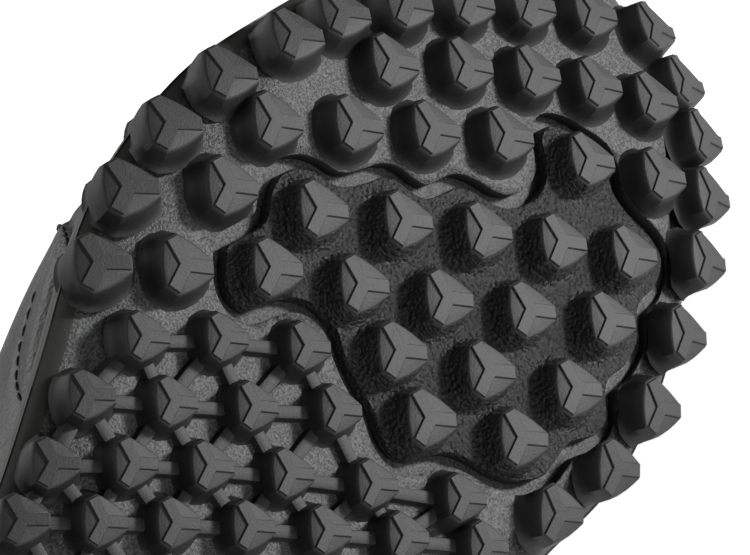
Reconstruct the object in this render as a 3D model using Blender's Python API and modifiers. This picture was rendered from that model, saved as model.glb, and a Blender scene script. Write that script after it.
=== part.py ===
"""A lace-up turf shoe for the right foot, lying on its inner side.

The shoe is worked out standing, heel at x = 0, toe towards +X, inner side towards +Y, lug tips near z = 0.
An empty then lays it down on the three places where its inner side meets the floor.
"""

import math
from collections import namedtuple

import bmesh
import bpy
import numpy as np
from mathutils import Matrix, Vector
from mathutils.geometry import intersect_point_tri

# Driving sizes, in metres
LENGTH = 0.290
BALL_WIDTH = 0.105
INSTEP_HEIGHT = 0.100

# Sole
LUG_HEIGHT = 0.0046
SOLE_THICKNESS = 0.0044
HEEL_WEDGE = 0.0045
RIM_HEIGHT = 0.0140
TOE_BUMPER = 0.0070
HEEL_CUP = 0.0060
CUP_WALL = 0.0028
TOE_SPRING_START = 0.194
TOE_SPRING_RADIUS = 0.300
HEEL_BEVEL_LENGTH = 0.028
HEEL_BEVEL_RISE = 0.0045
ARCH_RISE = 0.0030
ARCH_CENTRE = 0.112
ARCH_HALF_LENGTH = 0.045
EDGE_CURL = 0.0024
EDGE_CURL_REACH = 0.014
SHOULDER_REACH = 0.0060
BEAD_STEP = 0.0010
STEP_HEIGHT = 0.0022

# Lugs
LUG_ARM = 0.0047
LUG_ARM_WIDTH = 0.0022
LUG_BASE_SPREAD = 0.0018
LUG_ROOT = 0.0020
LATTICE_LUG_SCALE = 0.82
HIDDEN_ROW_PITCH = 0.0148
HIDDEN_LUG_PITCH = 0.0148
LUG_EDGE_MARGIN = 0.0068

# Forefoot pod
POD_REACH = 0.0070
POD_THICKNESS = 0.0024
GROOVE_WIDTH = 0.0015
SCALLOP_SHARPNESS = 14.0

# Upper
UPPER_WALL = 0.0020
UPPER_BULGE = 0.0032
PANEL_STEP = 0.0008
SEAM_HALF = 0.012
EYESTAY_SHARE = 0.80
EYESTAY_START = 4.2
COUNTER_SHARE = 0.55
INSOLE_THICKNESS = 0.0035
TONGUE_THICKNESS = 0.0040
TONGUE_TOP = 0.024
TONGUE_CROWN = 0.0022
TONGUE_TAPER = 0.42
LACE_RADIUS = 0.0013
LACE_DIP = 0.0014
LACE_HOLE_RADIUS = 0.0022
LACE_PAIRS = 6
TOP_PAIR = 5.15
LOW_PAIR = 8.05
EYELET_SHARE = 0.905
FIT_GAP = 0.0003
FLOOR_FLAT = 0.0005
CUTTER_OVERLAP = 0.0010

# Densities, only used to find the side it settles on
RUBBER_DENSITY = 1150.0
LEATHER_DENSITY = 850.0
FOAM_DENSITY = 300.0
SIDE_LEAN_DEGREES = 25.0

# One row for each rib across the shoe, from the heel's back to the toe's tip.
# along: share of LENGTH; outer, inner, mouth_outer, mouth_inner: share of BALL_WIDTH, inner side positive;
# mouth_height, rise and drop: share of INSTEP_HEIGHT; reach: share of the way from the mouth to the edge.
# outer_along and inner_along place the sole's edge, the mouth columns the edge of collar and throat;
# lean: how far the rim of the side wall stands inside that edge, as a share of BALL_WIDTH.
Rib = namedtuple(
    "Rib",
    "outer_along outer inner_along inner "
    "mouth_along mouth_outer mouth_inner mouth_height rise reach drop lean",
)
RIBS = [
    Rib(0.000, -0.048, 0.000, -0.048, 0.055, -0.048, -0.048, 0.86, 0.22, 0.10, 0.20, 0.014),
    Rib(0.028, -0.255, 0.025, 0.170, 0.070, -0.195, 0.100, 0.85, 0.21, 0.14, 0.20, 0.016),
    Rib(0.097, -0.365, 0.090, 0.265, 0.125, -0.312, 0.236, 0.76, 0.18, 0.22, 0.22, 0.020),
    Rib(0.207, -0.390, 0.200, 0.276, 0.212, -0.338, 0.262, 0.69, 0.16, 0.30, 0.20, 0.022),
    Rib(0.328, -0.404, 0.317, 0.250, 0.308, -0.288, 0.214, 0.77, 0.20, 0.36, 0.17, 0.022),
    Rib(0.448, -0.423, 0.430, 0.252, 0.388, -0.168, 0.100, 0.97, 0.26, 0.42, 0.12, 0.021),
    Rib(0.545, -0.467, 0.524, 0.300, 0.476, -0.140, 0.086, 0.87, 0.24, 0.46, 0.08, 0.020),
    Rib(0.645, -0.510, 0.620, 0.386, 0.566, -0.118, 0.076, 0.76, 0.22, 0.50, 0.05, 0.018),
    Rib(0.734, -0.478, 0.700, 0.457, 0.634, -0.092, 0.062, 0.68, 0.20, 0.52, 0.03, 0.012),
    Rib(0.807, -0.390, 0.786, 0.464, 0.656, -0.056, 0.036, 0.66, 0.20, 0.52, 0.02, 0.008),
    Rib(0.888, -0.262, 0.876, 0.422, 0.662, -0.030, 0.016, 0.655, 0.19, 0.52, 0.02, 0.008),
    Rib(0.962, -0.114, 0.955, 0.310, 0.664, -0.014, 0.003, 0.652, 0.18, 0.52, 0.02, 0.008),
    Rib(1.000, 0.095, 1.000, 0.095, 0.665, -0.005, -0.005, 0.650, 0.18, 0.52, 0.02, 0.008),
]
RIB_COUNT = len(RIBS)
LOOP_LENGTH = 2 * (RIB_COUNT - 1)
HEEL_CENTRE = -0.048
TOE_CENTRE = 0.110
SPINE_START = 0.11
SPINE_END = 0.87

# Rows of lugs, lateral end first: three places on each row as shares of LENGTH and BALL_WIDTH, and a count.
LugRow = namedtuple("LugRow", "zone first_along first middle_along middle last_along last count")
LUG_ROWS = [
    LugRow("front", 0.820, -0.295, 0.898, -0.062, 0.961, 0.215, 6),
    LugRow("front", 0.813, -0.197, 0.871, 0.035, 0.912, 0.248, 5),
    LugRow("front", 0.733, -0.332, 0.778, -0.152, 0.821, 0.027, 4),
    LugRow("front", 0.867, 0.301, 0.867, 0.301, 0.867, 0.301, 1),
    LugRow("front", 0.683, -0.353, 0.656, -0.357, 0.628, -0.361, 2),
    LugRow("front", 0.788, -0.350, 0.695, -0.463, 0.603, -0.464, 5),
    LugRow("front", 0.941, 0.295, 0.900, 0.379, 0.840, 0.423, 4),
    LugRow("front", 0.787, 0.430, 0.711, 0.420, 0.642, 0.343, 4),
    LugRow("pod", 0.843, 0.173, 0.843, 0.173, 0.843, 0.173, 1),
    LugRow("pod", 0.705, -0.208, 0.758, 0.051, 0.807, 0.296, 5),
    LugRow("pod", 0.659, -0.234, 0.707, 0.035, 0.760, 0.300, 5),
    LugRow("pod", 0.663, 0.001, 0.686, 0.145, 0.710, 0.290, 3),
    LugRow("pod", 0.640, 0.089, 0.652, 0.164, 0.664, 0.239, 2),
    LugRow("lattice", 0.580, -0.365, 0.607, -0.257, 0.632, -0.135, 3),
    LugRow("lattice", 0.535, -0.395, 0.571, -0.227, 0.612, -0.048, 4),
    LugRow("lattice", 0.494, -0.392, 0.552, -0.134, 0.613, 0.193, 6),
    LugRow("lattice", 0.460, -0.390, 0.526, -0.094, 0.598, 0.256, 7),
]

Lug = namedtuple("Lug", "along across size")


def share_point(along, across):
    """A place on the sole in metres, from shares of the length and the ball width."""
    return np.array([along * LENGTH, across * BALL_WIDTH])


def blend(low, high, amount):
    return low + (high - low) * amount


def ease(value):
    value = min(1.0, max(0.0, value))
    return value * value * (3.0 - 2.0 * value)


def loop_columns():
    """The ribs as one closed loop: up the outer side to the toe and back down the inner side."""
    rows = []
    for index in range(LOOP_LENGTH):
        outer = index < RIB_COUNT
        rib = RIBS[index] if outer else RIBS[LOOP_LENGTH - index]
        edge = (rib.outer_along, rib.outer) if outer else (rib.inner_along, rib.inner)
        mouth = rib.mouth_outer if outer else rib.mouth_inner
        curve = (rib.mouth_height, rib.rise, rib.reach, rib.drop)
        rows.append(edge + (rib.mouth_along, mouth) + curve + (rib.lean,))
    return np.array(rows)


COLUMNS = loop_columns()


def at_loop(place):
    """All columns at any place on the loop, by a closed Catmull-Rom curve."""
    index = math.floor(place)
    part = place - index
    p0, p1, p2, p3 = (COLUMNS[(index + step) % LOOP_LENGTH] for step in (-1, 0, 1, 2))
    return 0.5 * (
        2 * p1
        + (p2 - p0) * part
        + (2 * p0 - 5 * p1 + 4 * p2 - p3) * part ** 2
        + (3 * p1 - p0 - 3 * p2 + p3) * part ** 3
    )


def outline(place, inset=0.0):
    """The sole's edge at a place on the loop, moved inwards by the inset."""
    here = at_loop(place)
    point = share_point(here[0], here[1])
    if inset == 0.0:
        return point
    step = 0.05
    before = at_loop(place - step)
    after = at_loop(place + step)
    way = share_point(after[0], after[1]) - share_point(before[0], before[1])
    way /= np.linalg.norm(way)
    return point + inset * np.array([-way[1], way[0]])


def lean(place):
    """How far the rim of the side wall stands inside the sole's edge."""
    return at_loop(place)[8] * BALL_WIDTH


def loop_places(parts, seams=()):
    """Even places round the loop, with a close pair at each seam on both sides."""
    places = [index / parts for index in range(LOOP_LENGTH * parts)]
    for seam in seams:
        for centre in (seam, LOOP_LENGTH - seam):
            places = [place for place in places if abs(place - centre) > 3 * SEAM_HALF]
            places += [centre - SEAM_HALF, centre + SEAM_HALF]
    return sorted(places)


EDGE_LINE = np.array([outline(place) for place in loop_places(8)])


def edge_distance(point):
    """How far a place on the sole lies from its edge, negative outside."""
    starts = EDGE_LINE
    ways = np.roll(EDGE_LINE, -1, axis=0) - starts
    rel = point - starts
    share = np.clip((rel * ways).sum(1) / (ways * ways).sum(1), 0.0, 1.0)
    gaps = np.linalg.norm(rel - ways * share[:, None], axis=1)
    nearest = int(np.argmin(gaps))
    side = ways[nearest][0] * rel[nearest][1] - ways[nearest][1] * rel[nearest][0]
    return gaps[nearest] if side > 0 else -gaps[nearest]


def lengthwise(along):
    """Height of the tread along the shoe: heel bevel, arch and toe spring."""
    spring = max(0.0, along - TOE_SPRING_START) ** 2 / (2.0 * TOE_SPRING_RADIUS)
    bevel = HEEL_BEVEL_RISE * (max(0.0, HEEL_BEVEL_LENGTH - along) / HEEL_BEVEL_LENGTH) ** 2
    arch = ARCH_RISE * ease(1.0 - abs(along - ARCH_CENTRE) / ARCH_HALF_LENGTH)
    return spring + bevel + arch


def tread(point, depth=0.0):
    """A point of the tread, depth above the lug tips; the tread curls up near the edge."""
    curl = EDGE_CURL * max(0.0, 1.0 - max(0.0, edge_distance(point)) / EDGE_CURL_REACH) ** 2
    return np.array([point[0], point[1], lengthwise(point[0]) + curl + depth])


def tread_frame(point, depth):
    """A point of the tread with its downward normal and two directions in its face."""
    step = 0.0015
    centre = tread(point, depth)
    along = tread(point + np.array([step, 0.0]), depth) - tread(point - np.array([step, 0.0]), depth)
    across = tread(point + np.array([0.0, step]), depth) - tread(point - np.array([0.0, step]), depth)
    down = np.cross(across, along)
    down /= np.linalg.norm(down)
    along /= np.linalg.norm(along)
    return centre, along, np.cross(along, down), down


def cup_floor(along):
    """Height of the floor inside the cup, thicker under the heel."""
    wedge = HEEL_WEDGE * (1.0 - ease((along / LENGTH - 0.25) / 0.40))
    return lengthwise(along) + LUG_HEIGHT + SOLE_THICKNESS + wedge


def rim_height(along):
    """Height of the cup's rim over the lug tips."""
    share = along / LENGTH
    return RIM_HEIGHT + TOE_BUMPER * ease((share - 0.78) / 0.20) + HEEL_CUP * (1.0 - ease(share / 0.30))


def spine(place):
    """The middle of the rib at this place, kept inside the round ends."""
    middle = 0.5 * (at_loop(place) + at_loop(LOOP_LENGTH - place))
    along = min(max(middle[0], SPINE_START), SPINE_END)
    return share_point(along, blend(HEEL_CENTRE, TOE_CENTRE, along))


def lug_places():
    """Every lug: the rows that show, and more rows of the same pitch back to the heel."""
    lugs = {"front": [], "pod": [], "lattice": []}
    for row in LUG_ROWS:
        ends = [share_point(row.first_along, row.first), share_point(row.last_along, row.last)]
        middle = share_point(row.middle_along, row.middle)
        bow = 4.0 * (middle - 0.5 * (ends[0] + ends[1]))
        size = LATTICE_LUG_SCALE if row.zone == "lattice" else 1.0
        for index in range(row.count):
            share = index / max(1, row.count - 1)
            place = blend(ends[0], ends[1], share) + bow * share * (1.0 - share)
            lugs[row.zone].append(Lug(place[0], place[1], size))
    last_row = LUG_ROWS[-1]
    first = share_point(last_row.first_along, last_row.first)
    way = share_point(last_row.last_along, last_row.last) - first
    way /= np.linalg.norm(way)
    row_count = int(first[0] / HIDDEN_ROW_PITCH) + 6
    for row_index in range(1, row_count):
        start = first - np.array([HIDDEN_ROW_PITCH * row_index, 0.0])
        for index in range(-3, 9):
            place = start + way * HIDDEN_LUG_PITCH * index
            if edge_distance(place) > LUG_EDGE_MARGIN and place[0] > LUG_EDGE_MARGIN:
                lugs["lattice"].append(Lug(place[0], place[1], LATTICE_LUG_SCALE))
    return lugs


LUGS = lug_places()


def mesh_object(name, bm, collection):
    """A new object that holds the bmesh, in the shoe's standing frame."""
    bmesh.ops.recalc_face_normals(bm, faces=bm.faces)
    mesh = bpy.data.meshes.new(name)
    bm.to_mesh(mesh)
    bm.free()
    made = bpy.data.objects.new(name, mesh)
    collection.objects.link(made)
    return made


def loft(bm, rings, closed=True):
    """Faces between rings of equally many points; rings that collapse onto a line are welded."""
    lines = [[bm.verts.new(Vector(point)) for point in ring] for ring in rings]
    count = len(rings[0])
    last = count if closed else count - 1
    for low, high in zip(lines, lines[1:]):
        for index in range(last):
            after = (index + 1) % count
            bm.faces.new((low[index], low[after], high[after], high[index]))
    return lines


def weld(bm):
    bmesh.ops.remove_doubles(bm, verts=bm.verts, dist=0.00001)
    bmesh.ops.dissolve_degenerate(bm, edges=bm.edges, dist=0.00001)


def sheet_rings(places, inset, shares, height):
    """Rings from the spine out to the inset edge; functions give the inset and the height."""
    rings = []
    for share in shares:
        ring = []
        for place in places:
            point = blend(spine(place), outline(place, inset(place)), share)
            ring.append((point[0], point[1], height(point)))
        rings.append(ring)
    return rings


def wall_ring(places, inset, leaning, height):
    """A ring of the side wall, at a height over the lug tips, moved in by a share of the wall's lean."""
    ring = []
    for place in places:
        point = outline(place, inset + leaning * lean(place))
        edge = outline(place)
        ring.append((point[0], point[1], tread(edge)[2] + height(edge[0])))
    return ring


def shade(made, angle=35.0):
    made.data.shade_smooth()
    made.data.set_sharp_from_angle(angle=math.radians(angle))


def lug_solid(bm, lug, depth_extra):
    """One lug: a triangle with cut corners that spreads towards its root in the sole."""
    place = np.array([lug.along, lug.across])
    centre, along, across, down = tread_frame(place, LUG_HEIGHT)
    levels = [(LUG_HEIGHT, 0.0), (-depth_extra, LUG_BASE_SPREAD)]
    rings = []
    for height, spread in levels:
        ring = []
        for arm in range(3):
            turn = math.radians(60.0 + 120.0 * arm)
            way = math.cos(turn) * along + math.sin(turn) * across
            side = -math.sin(turn) * along + math.cos(turn) * across
            for half in (-0.5, 0.5):
                reach = (LUG_ARM + spread) * lug.size
                width = (LUG_ARM_WIDTH + spread) * lug.size
                ring.append(centre + way * reach + side * half * width + down * height)
        rings.append(ring)
    lines = loft(bm, rings)
    bm.faces.new(lines[0])
    bm.faces.new(lines[-1])


def lug_cluster(name, lugs, root, collection):
    bm = bmesh.new()
    for lug in lugs:
        lug_solid(bm, lug, root)
    return mesh_object(name, bm, collection)


def pod_outline(reach, turn, centre):
    """Distance from the pod's centre to its scalloped edge: soft discs round the lugs, blended."""
    way = np.array([math.cos(turn), math.sin(turn)])
    far = []
    for lug in LUGS["pod"]:
        rel = np.array([lug.along, lug.across]) - centre
        forward = rel @ way
        sideways = abs(rel[0] * way[1] - rel[1] * way[0])
        if sideways < reach:
            far.append(forward + math.sqrt(reach ** 2 - sideways ** 2))
    top = max(far)
    scale = SCALLOP_SHARPNESS / reach
    return top + math.log(sum(math.exp(scale * (value - top)) for value in far)) / scale * 0.5


def pod_slab(name, spread, top, bottom, collection, steps=84):
    """A slab with the pod's edge, spread outwards, between two heights over the lug tips."""
    centre = np.mean([[lug.along, lug.across] for lug in LUGS["pod"]], axis=0)
    rings = []
    for depth, shares in ((bottom, (0.0, 0.5, 1.0)), (top, (1.0, 0.5, 0.0))):
        for share in shares:
            ring = []
            for step in range(steps):
                turn = 2.0 * math.pi * step / steps
                radius = share * (pod_outline(POD_REACH, turn, centre) + spread)
                place = centre + radius * np.array([math.cos(turn), math.sin(turn)])
                ring.append(tread(place, depth))
            rings.append(ring)
    bm = bmesh.new()
    loft(bm, rings)
    weld(bm)
    return mesh_object(name, bm, collection)


def join_by(made, other, operation, crossing=False):
    """Adds or takes away another object with a Boolean modifier; crossing where its own pieces may meet."""
    modifier = made.modifiers.new(other.name, "BOOLEAN")
    modifier.operation = operation
    modifier.solver = "EXACT"
    modifier.use_self = crossing
    modifier.object = other


def cup_inset(place):
    """How far the inside of the cup stands inside the sole's edge."""
    return CUP_WALL + lean(place)


def make_outsole(parts, helpers):
    places = loop_places(3)
    shares = (0.0, 0.34, 0.62, 0.84)
    rings = sheet_rings(
        places,
        lambda place: SHOULDER_REACH,
        shares,
        lambda point: tread(point, LUG_HEIGHT)[2],
    )
    side = [
        (SHOULDER_REACH, 0.0, lambda along: LUG_HEIGHT),
        (0.45 * SHOULDER_REACH, 0.0, lambda along: LUG_HEIGHT + 0.0006),
        (0.15 * SHOULDER_REACH, 0.0, lambda along: LUG_HEIGHT + 0.0018),
        (0.0, 0.0, lambda along: 0.5 * rim_height(along) + 0.0006),
        (BEAD_STEP, 0.45, lambda along: 0.5 * rim_height(along) + STEP_HEIGHT),
        (BEAD_STEP, 0.80, lambda along: rim_height(along) - 0.0026),
        (0.0, 0.90, lambda along: rim_height(along) - 0.0018),
        (0.0, 1.0, lambda along: rim_height(along) - 0.0004),
        (0.0005, 1.0, rim_height),
        (CUP_WALL, 1.0, rim_height),
    ]
    rings += [wall_ring(places, *step) for step in side]
    cup = sheet_rings(places, cup_inset, (1.0, 0.55, 0.0), lambda point: cup_floor(point[0]))
    bm = bmesh.new()
    loft(bm, rings + cup)
    weld(bm)
    outsole = mesh_object("outsole", bm, parts)
    shade(outsole)
    tread_lugs = lug_cluster("tread_lugs", LUGS["front"] + LUGS["lattice"], LUG_ROOT, helpers)
    join_by(outsole, tread_lugs, "UNION", crossing=True)
    recess_top = LUG_HEIGHT + POD_THICKNESS + FIT_GAP
    recess = pod_slab("pod_recess", GROOVE_WIDTH, recess_top, -CUTTER_OVERLAP, helpers)
    join_by(outsole, recess, "DIFFERENCE")
    return outsole


def make_pod(parts, helpers):
    pod = pod_slab("forefoot_pod", 0.0, LUG_HEIGHT + POD_THICKNESS, LUG_HEIGHT, parts)
    shade(pod)
    pod_lugs = lug_cluster("pod_lugs", LUGS["pod"], POD_THICKNESS * 0.5, helpers)
    join_by(pod, pod_lugs, "UNION", crossing=True)
    return pod


def upper_inset(place):
    return cup_inset(place) + FIT_GAP


def unit(vector):
    return vector / np.linalg.norm(vector)


def upper_curve(place, share):
    """The upper's outer face: a rib's curve from the cup's rim (0) to the collar or throat (1)."""
    here = at_loop(place)
    edge = outline(place)
    base = outline(place, upper_inset(place))
    start = np.array([base[0], base[1], tread(edge)[2] + rim_height(edge[0])])
    mouth_place = share_point(here[2], here[3])
    mouth = np.array([mouth_place[0], mouth_place[1], here[4] * INSTEP_HEIGHT])
    outward = unit(edge - base)
    bulged = start + np.array([outward[0] * UPPER_BULGE, outward[1] * UPPER_BULGE, here[5] * INSTEP_HEIGHT])
    level = np.array([start[0] - mouth[0], start[1] - mouth[1], 0.0])
    handle = mouth + here[6] * level - np.array([0.0, 0.0, here[7] * INSTEP_HEIGHT])
    rest = 1.0 - share
    return (
        rest ** 3 * start
        + 3 * rest ** 2 * share * bulged
        + 3 * rest * share ** 2 * handle
        + share ** 3 * mouth
    )


def upper_normal(place, share):
    step = 0.02
    low = max(0.0, share - step)
    high = min(1.0, share + step)
    up = upper_curve(place, high) - upper_curve(place, low)
    round_way = upper_curve(place + step, share) - upper_curve(place - step, share)
    return unit(np.cross(round_way, up))


# Seams of the upper, as places on the loop of ribs: vamp to quarter, and quarter to heel counter
VAMP_SEAM = 6.62
COUNTER_SEAM = 2.75


def panel_lift(place, share, eyestay_side):
    """How far a panel stands over the vamp: quarters one step, eyestay and heel counter two."""
    from_heel = min(place, LOOP_LENGTH - place)
    steps = 0
    if from_heel < VAMP_SEAM:
        steps = 1
    if eyestay_side and from_heel > EYESTAY_START:
        steps = 2
    if from_heel < COUNTER_SEAM and share < COUNTER_SHARE:
        steps = 2
    return steps * PANEL_STEP


def upper_point(place, share, eyestay_side=False):
    return upper_curve(place, share) + panel_lift(place, share, eyestay_side) * upper_normal(place, share)


def upper_rings(places):
    """Rings of the outer face from inside the cup up to collar and throat."""
    rings = []
    foot = []
    for place in places:
        base = outline(place, upper_inset(place))
        foot.append((base[0], base[1], cup_floor(base[0]) + FIT_GAP))
    rings.append(foot)
    shares = [0.0, 0.12, 0.30, COUNTER_SHARE - 0.02, COUNTER_SHARE + 0.02, EYESTAY_SHARE - SEAM_HALF]
    for share in shares:
        lifted = share > 0.0
        ring = []
        for place in places:
            point = upper_point(place, share) if lifted else upper_curve(place, share)
            ring.append(tuple(point))
        rings.append(ring)
    for share in (EYESTAY_SHARE + SEAM_HALF, 1.0):
        rings.append([tuple(upper_point(place, share, True)) for place in places])
    return rings


def eyelet_pairs():
    """Loop places of the eyelets on the outer side, from the top pair to the lowest."""
    return [blend(TOP_PAIR, LOW_PAIR, index / (LACE_PAIRS - 1)) for index in range(LACE_PAIRS)]


def lace_holes(helpers):
    bm = bmesh.new()
    for pair in eyelet_pairs():
        for place in (pair, LOOP_LENGTH - pair):
            centre = upper_point(place, EYELET_SHARE, True)
            way = Vector(upper_normal(place, EYELET_SHARE))
            made = bmesh.ops.create_cone(
                bm,
                cap_ends=True,
                segments=8,
                radius1=LACE_HOLE_RADIUS,
                radius2=LACE_HOLE_RADIUS,
                depth=0.010,
            )
            turn = way.to_track_quat("Z", "Y").to_matrix().to_4x4()
            bmesh.ops.transform(bm, verts=made["verts"], matrix=Matrix.Translation(Vector(centre)) @ turn)
    return mesh_object("lace_hole_cutters", bm, helpers)


def make_upper(parts, helpers):
    places = loop_places(3, (VAMP_SEAM, COUNTER_SEAM))
    bm = bmesh.new()
    loft(bm, upper_rings(places))
    upper = mesh_object("upper", bm, parts)
    shade(upper)
    wall = upper.modifiers.new("wall", "SOLIDIFY")
    wall.thickness = UPPER_WALL
    wall.offset = -1.0
    join_by(upper, lace_holes(helpers), "DIFFERENCE")
    return upper


def make_insole(parts):
    places = loop_places(2)
    shares = (0.0, 0.55, 1.0)

    def inset(place):
        return upper_inset(place) + UPPER_WALL + 2 * FIT_GAP

    low = sheet_rings(places, inset, shares, lambda point: cup_floor(point[0]) + FIT_GAP)
    top = sheet_rings(
        places,
        inset,
        shares[::-1],
        lambda point: cup_floor(point[0]) + FIT_GAP + INSOLE_THICKNESS,
    )
    bm = bmesh.new()
    loft(bm, low + top)
    weld(bm)
    insole = mesh_object("insole", bm, parts)
    shade(insole)
    return insole


def tongue_row(place, clearance):
    """Points of the tongue's face under one rib: under the outer eyestay, over the foot, under the inner."""
    row = []
    other = LOOP_LENGTH - place
    for side, shares in ((place, (0.74, 0.86, 1.0)), (other, (1.0, 0.86, 0.74))):
        for share in shares:
            row.append(upper_curve(side, share) - clearance * upper_normal(side, share))
    middle = 0.5 * (row[2] + row[3]) + np.array([0.0, 0.0, TONGUE_CROWN])
    return row[:3] + [middle] + row[3:]


def make_tongue(parts):
    clearance = UPPER_WALL + 3 * FIT_GAP
    rows = [tongue_row(place, clearance) for place in (8.9, 8.2, 7.4, 6.6, 5.9, 5.3)]
    way = unit(rows[-1][3] - rows[-3][3])
    free_row = rows[-1]
    for share in (0.5, 1.0):
        narrowed = [blend(point, free_row[3], TONGUE_TAPER * share) for point in free_row]
        rows.append([point + way * TONGUE_TOP * share for point in narrowed])
    bm = bmesh.new()
    loft(bm, [[tuple(point) for point in row] for row in rows], closed=False)
    bmesh.ops.recalc_face_normals(bm, faces=bm.faces)
    if sum(face.normal.z for face in bm.faces) < 0:
        bmesh.ops.reverse_faces(bm, faces=bm.faces)
    mesh = bpy.data.meshes.new("tongue")
    bm.to_mesh(mesh)
    bm.free()
    tongue = bpy.data.objects.new("tongue", mesh)
    parts.objects.link(tongue)
    shade(tongue)
    pad = tongue.modifiers.new("pad", "SOLIDIFY")
    pad.thickness = TONGUE_THICKNESS
    pad.offset = -1.0
    return tongue


def make_lace_bars(parts):
    """One straight bar of lace over each pair of holes, its ends going down into the holes."""
    bars = []
    rise = LACE_RADIUS + 2 * FIT_GAP
    for number, pair in enumerate(eyelet_pairs(), start=1):
        path = []
        for place in (pair, LOOP_LENGTH - pair):
            hole = upper_point(place, EYELET_SHARE, True)
            out = upper_normal(place, EYELET_SHARE)
            edge = upper_point(place, 1.0, True)
            edge_out = upper_normal(place, 1.0)
            low_knots = [hole - out * LACE_DIP, hole + out * rise * 0.6]
            path.append(low_knots + [hole + out * rise, edge + edge_out * rise])
        middle = 0.5 * (path[0][3] + path[1][3]) + np.array([0.0, 0.0, TONGUE_CROWN + LACE_RADIUS])
        points = path[0] + [middle] + path[1][::-1]
        curve = bpy.data.curves.new("lace_bar", "CURVE")
        curve.dimensions = "3D"
        curve.bevel_depth = LACE_RADIUS
        curve.bevel_resolution = 2
        curve.use_fill_caps = True
        spline = curve.splines.new("POLY")
        spline.points.add(len(points) - 1)
        for knot, point in zip(spline.points, points):
            knot.co = (*point, 1.0)
        bar = bpy.data.objects.new(f"lace_bar_{number}", curve)
        parts.objects.link(bar)
        bars.append(bar)
    return bars


def dye(made, name, colour, roughness):
    material = bpy.data.materials.new(name)
    material.use_nodes = True
    shader = material.node_tree.nodes["Principled BSDF"]
    shader.inputs["Base Color"].default_value = (*colour, 1.0)
    shader.inputs["Roughness"].default_value = roughness
    shader.inputs["Metallic"].default_value = 0.0
    made.data.materials.append(material)


def evaluated_mesh(made):
    graph = bpy.context.evaluated_depsgraph_get()
    bm = bmesh.new()
    bm.from_mesh(made.evaluated_get(graph).to_mesh())
    return bm


def solid_points(solids):
    points = []
    for made in solids:
        bm = evaluated_mesh(made)
        points += [vert.co.copy() for vert in bm.verts]
        bm.free()
    return points


def centre_of_mass(weights):
    """Centre of mass of the solids, from signed tetrahedra."""
    total = 0.0
    moment = np.zeros(3)
    for made, density in weights:
        bm = evaluated_mesh(made)
        bmesh.ops.triangulate(bm, faces=bm.faces)
        for face in bm.faces:
            a, b, c = (np.array(vert.co) for vert in face.verts)
            volume = density * a @ np.cross(b, c) / 6.0
            total += volume
            moment += volume * (a + b + c) / 4.0
        bm.free()
    return moment / total


def settle(solids, weights, everything):
    """The pose on the inner side: on the largest hull face that lies under the centre of mass."""
    cloud = bmesh.new()
    for point in solid_points(solids):
        cloud.verts.new(point)
    hull = bmesh.ops.convex_hull(cloud, input=cloud.verts, use_existing_faces=False)
    faces = [item for item in hull["geom"] if isinstance(item, bmesh.types.BMFace)]
    centre = Vector(centre_of_mass(weights))
    best = None
    for face in faces:
        normal = face.normal.copy()
        if (face.calc_center_median() - centre).dot(normal) < 0:
            normal.negate()
        if normal.y < math.cos(math.radians(SIDE_LEAN_DEGREES)):
            continue
        corners = [vert.co.copy() for vert in face.verts]
        foot = centre + normal * (corners[0] - centre).dot(normal)
        rank = (bool(intersect_point_tri(foot, *corners)), face.calc_area())
        if best is None or rank > best[0]:
            best = (rank, normal, corners[0])
    normal, touch = best[1], best[2]
    toe_way = Vector((1.0, 0.0, 0.0))
    toe_way = (toe_way - toe_way.dot(normal) * normal).normalized()
    up = -normal
    turn = Matrix((toe_way, up.cross(toe_way), up)).to_4x4()
    points = [turn @ point for point in solid_points(everything)]
    floor = (turn @ touch).z + FLOOR_FLAT
    middle = [0.5 * (min(p[axis] for p in points) + max(p[axis] for p in points)) for axis in (0, 1)]
    cloud.free()
    return Matrix.Translation((-middle[0], -middle[1], -floor)) @ turn


def floor_cutter(helpers):
    """A block under the floor that leaves small flats where the shoe touches it."""
    bm = bmesh.new()
    bmesh.ops.create_cube(bm, size=1.0)
    bmesh.ops.translate(bm, verts=bm.verts, vec=(0.0, 0.0, -0.5))
    return mesh_object("floor_cutter", bm, helpers)


def main():
    for old in list(bpy.data.objects):
        bpy.data.objects.remove(old, do_unlink=True)
    parts = bpy.data.collections.new("turf_shoe")
    helpers = bpy.data.collections.new("cutters")
    bpy.context.scene.collection.children.link(parts)
    bpy.context.scene.collection.children.link(helpers)

    outsole = make_outsole(parts, helpers)
    pod = make_pod(parts, helpers)
    upper = make_upper(parts, helpers)
    insole = make_insole(parts)
    tongue = make_tongue(parts)
    bars = make_lace_bars(parts)

    dye(outsole, "moulded_rubber", (0.020, 0.020, 0.021), 0.55)
    dye(pod, "grained_rubber", (0.017, 0.017, 0.018), 0.62)
    dye(upper, "black_leather", (0.018, 0.018, 0.017), 0.42)
    dye(insole, "footbed_cloth", (0.030, 0.030, 0.031), 0.85)
    dye(tongue, "tongue_leather", (0.018, 0.018, 0.017), 0.50)
    for bar in bars:
        dye(bar, "lace_weave", (0.016, 0.016, 0.016), 0.80)

    weights = [
        (outsole, RUBBER_DENSITY),
        (pod, RUBBER_DENSITY),
        (upper, LEATHER_DENSITY),
        (insole, FOAM_DENSITY),
        (tongue, FOAM_DENSITY),
    ]
    pose = settle([outsole, upper], weights, parts.objects)
    lying = bpy.data.objects.new("lying_on_inner_side", None)
    helpers.objects.link(lying)
    lying.matrix_world = pose
    for made in list(parts.objects) + [item for item in helpers.objects if item is not lying]:
        made.parent = lying
    cutter = floor_cutter(helpers)
    join_by(outsole, cutter, "DIFFERENCE")
    join_by(upper, cutter, "DIFFERENCE")
    for helper in helpers.objects:
        helper.hide_render = True
        if helper.type == "MESH":
            helper.display_type = "WIRE"


main()
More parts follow.
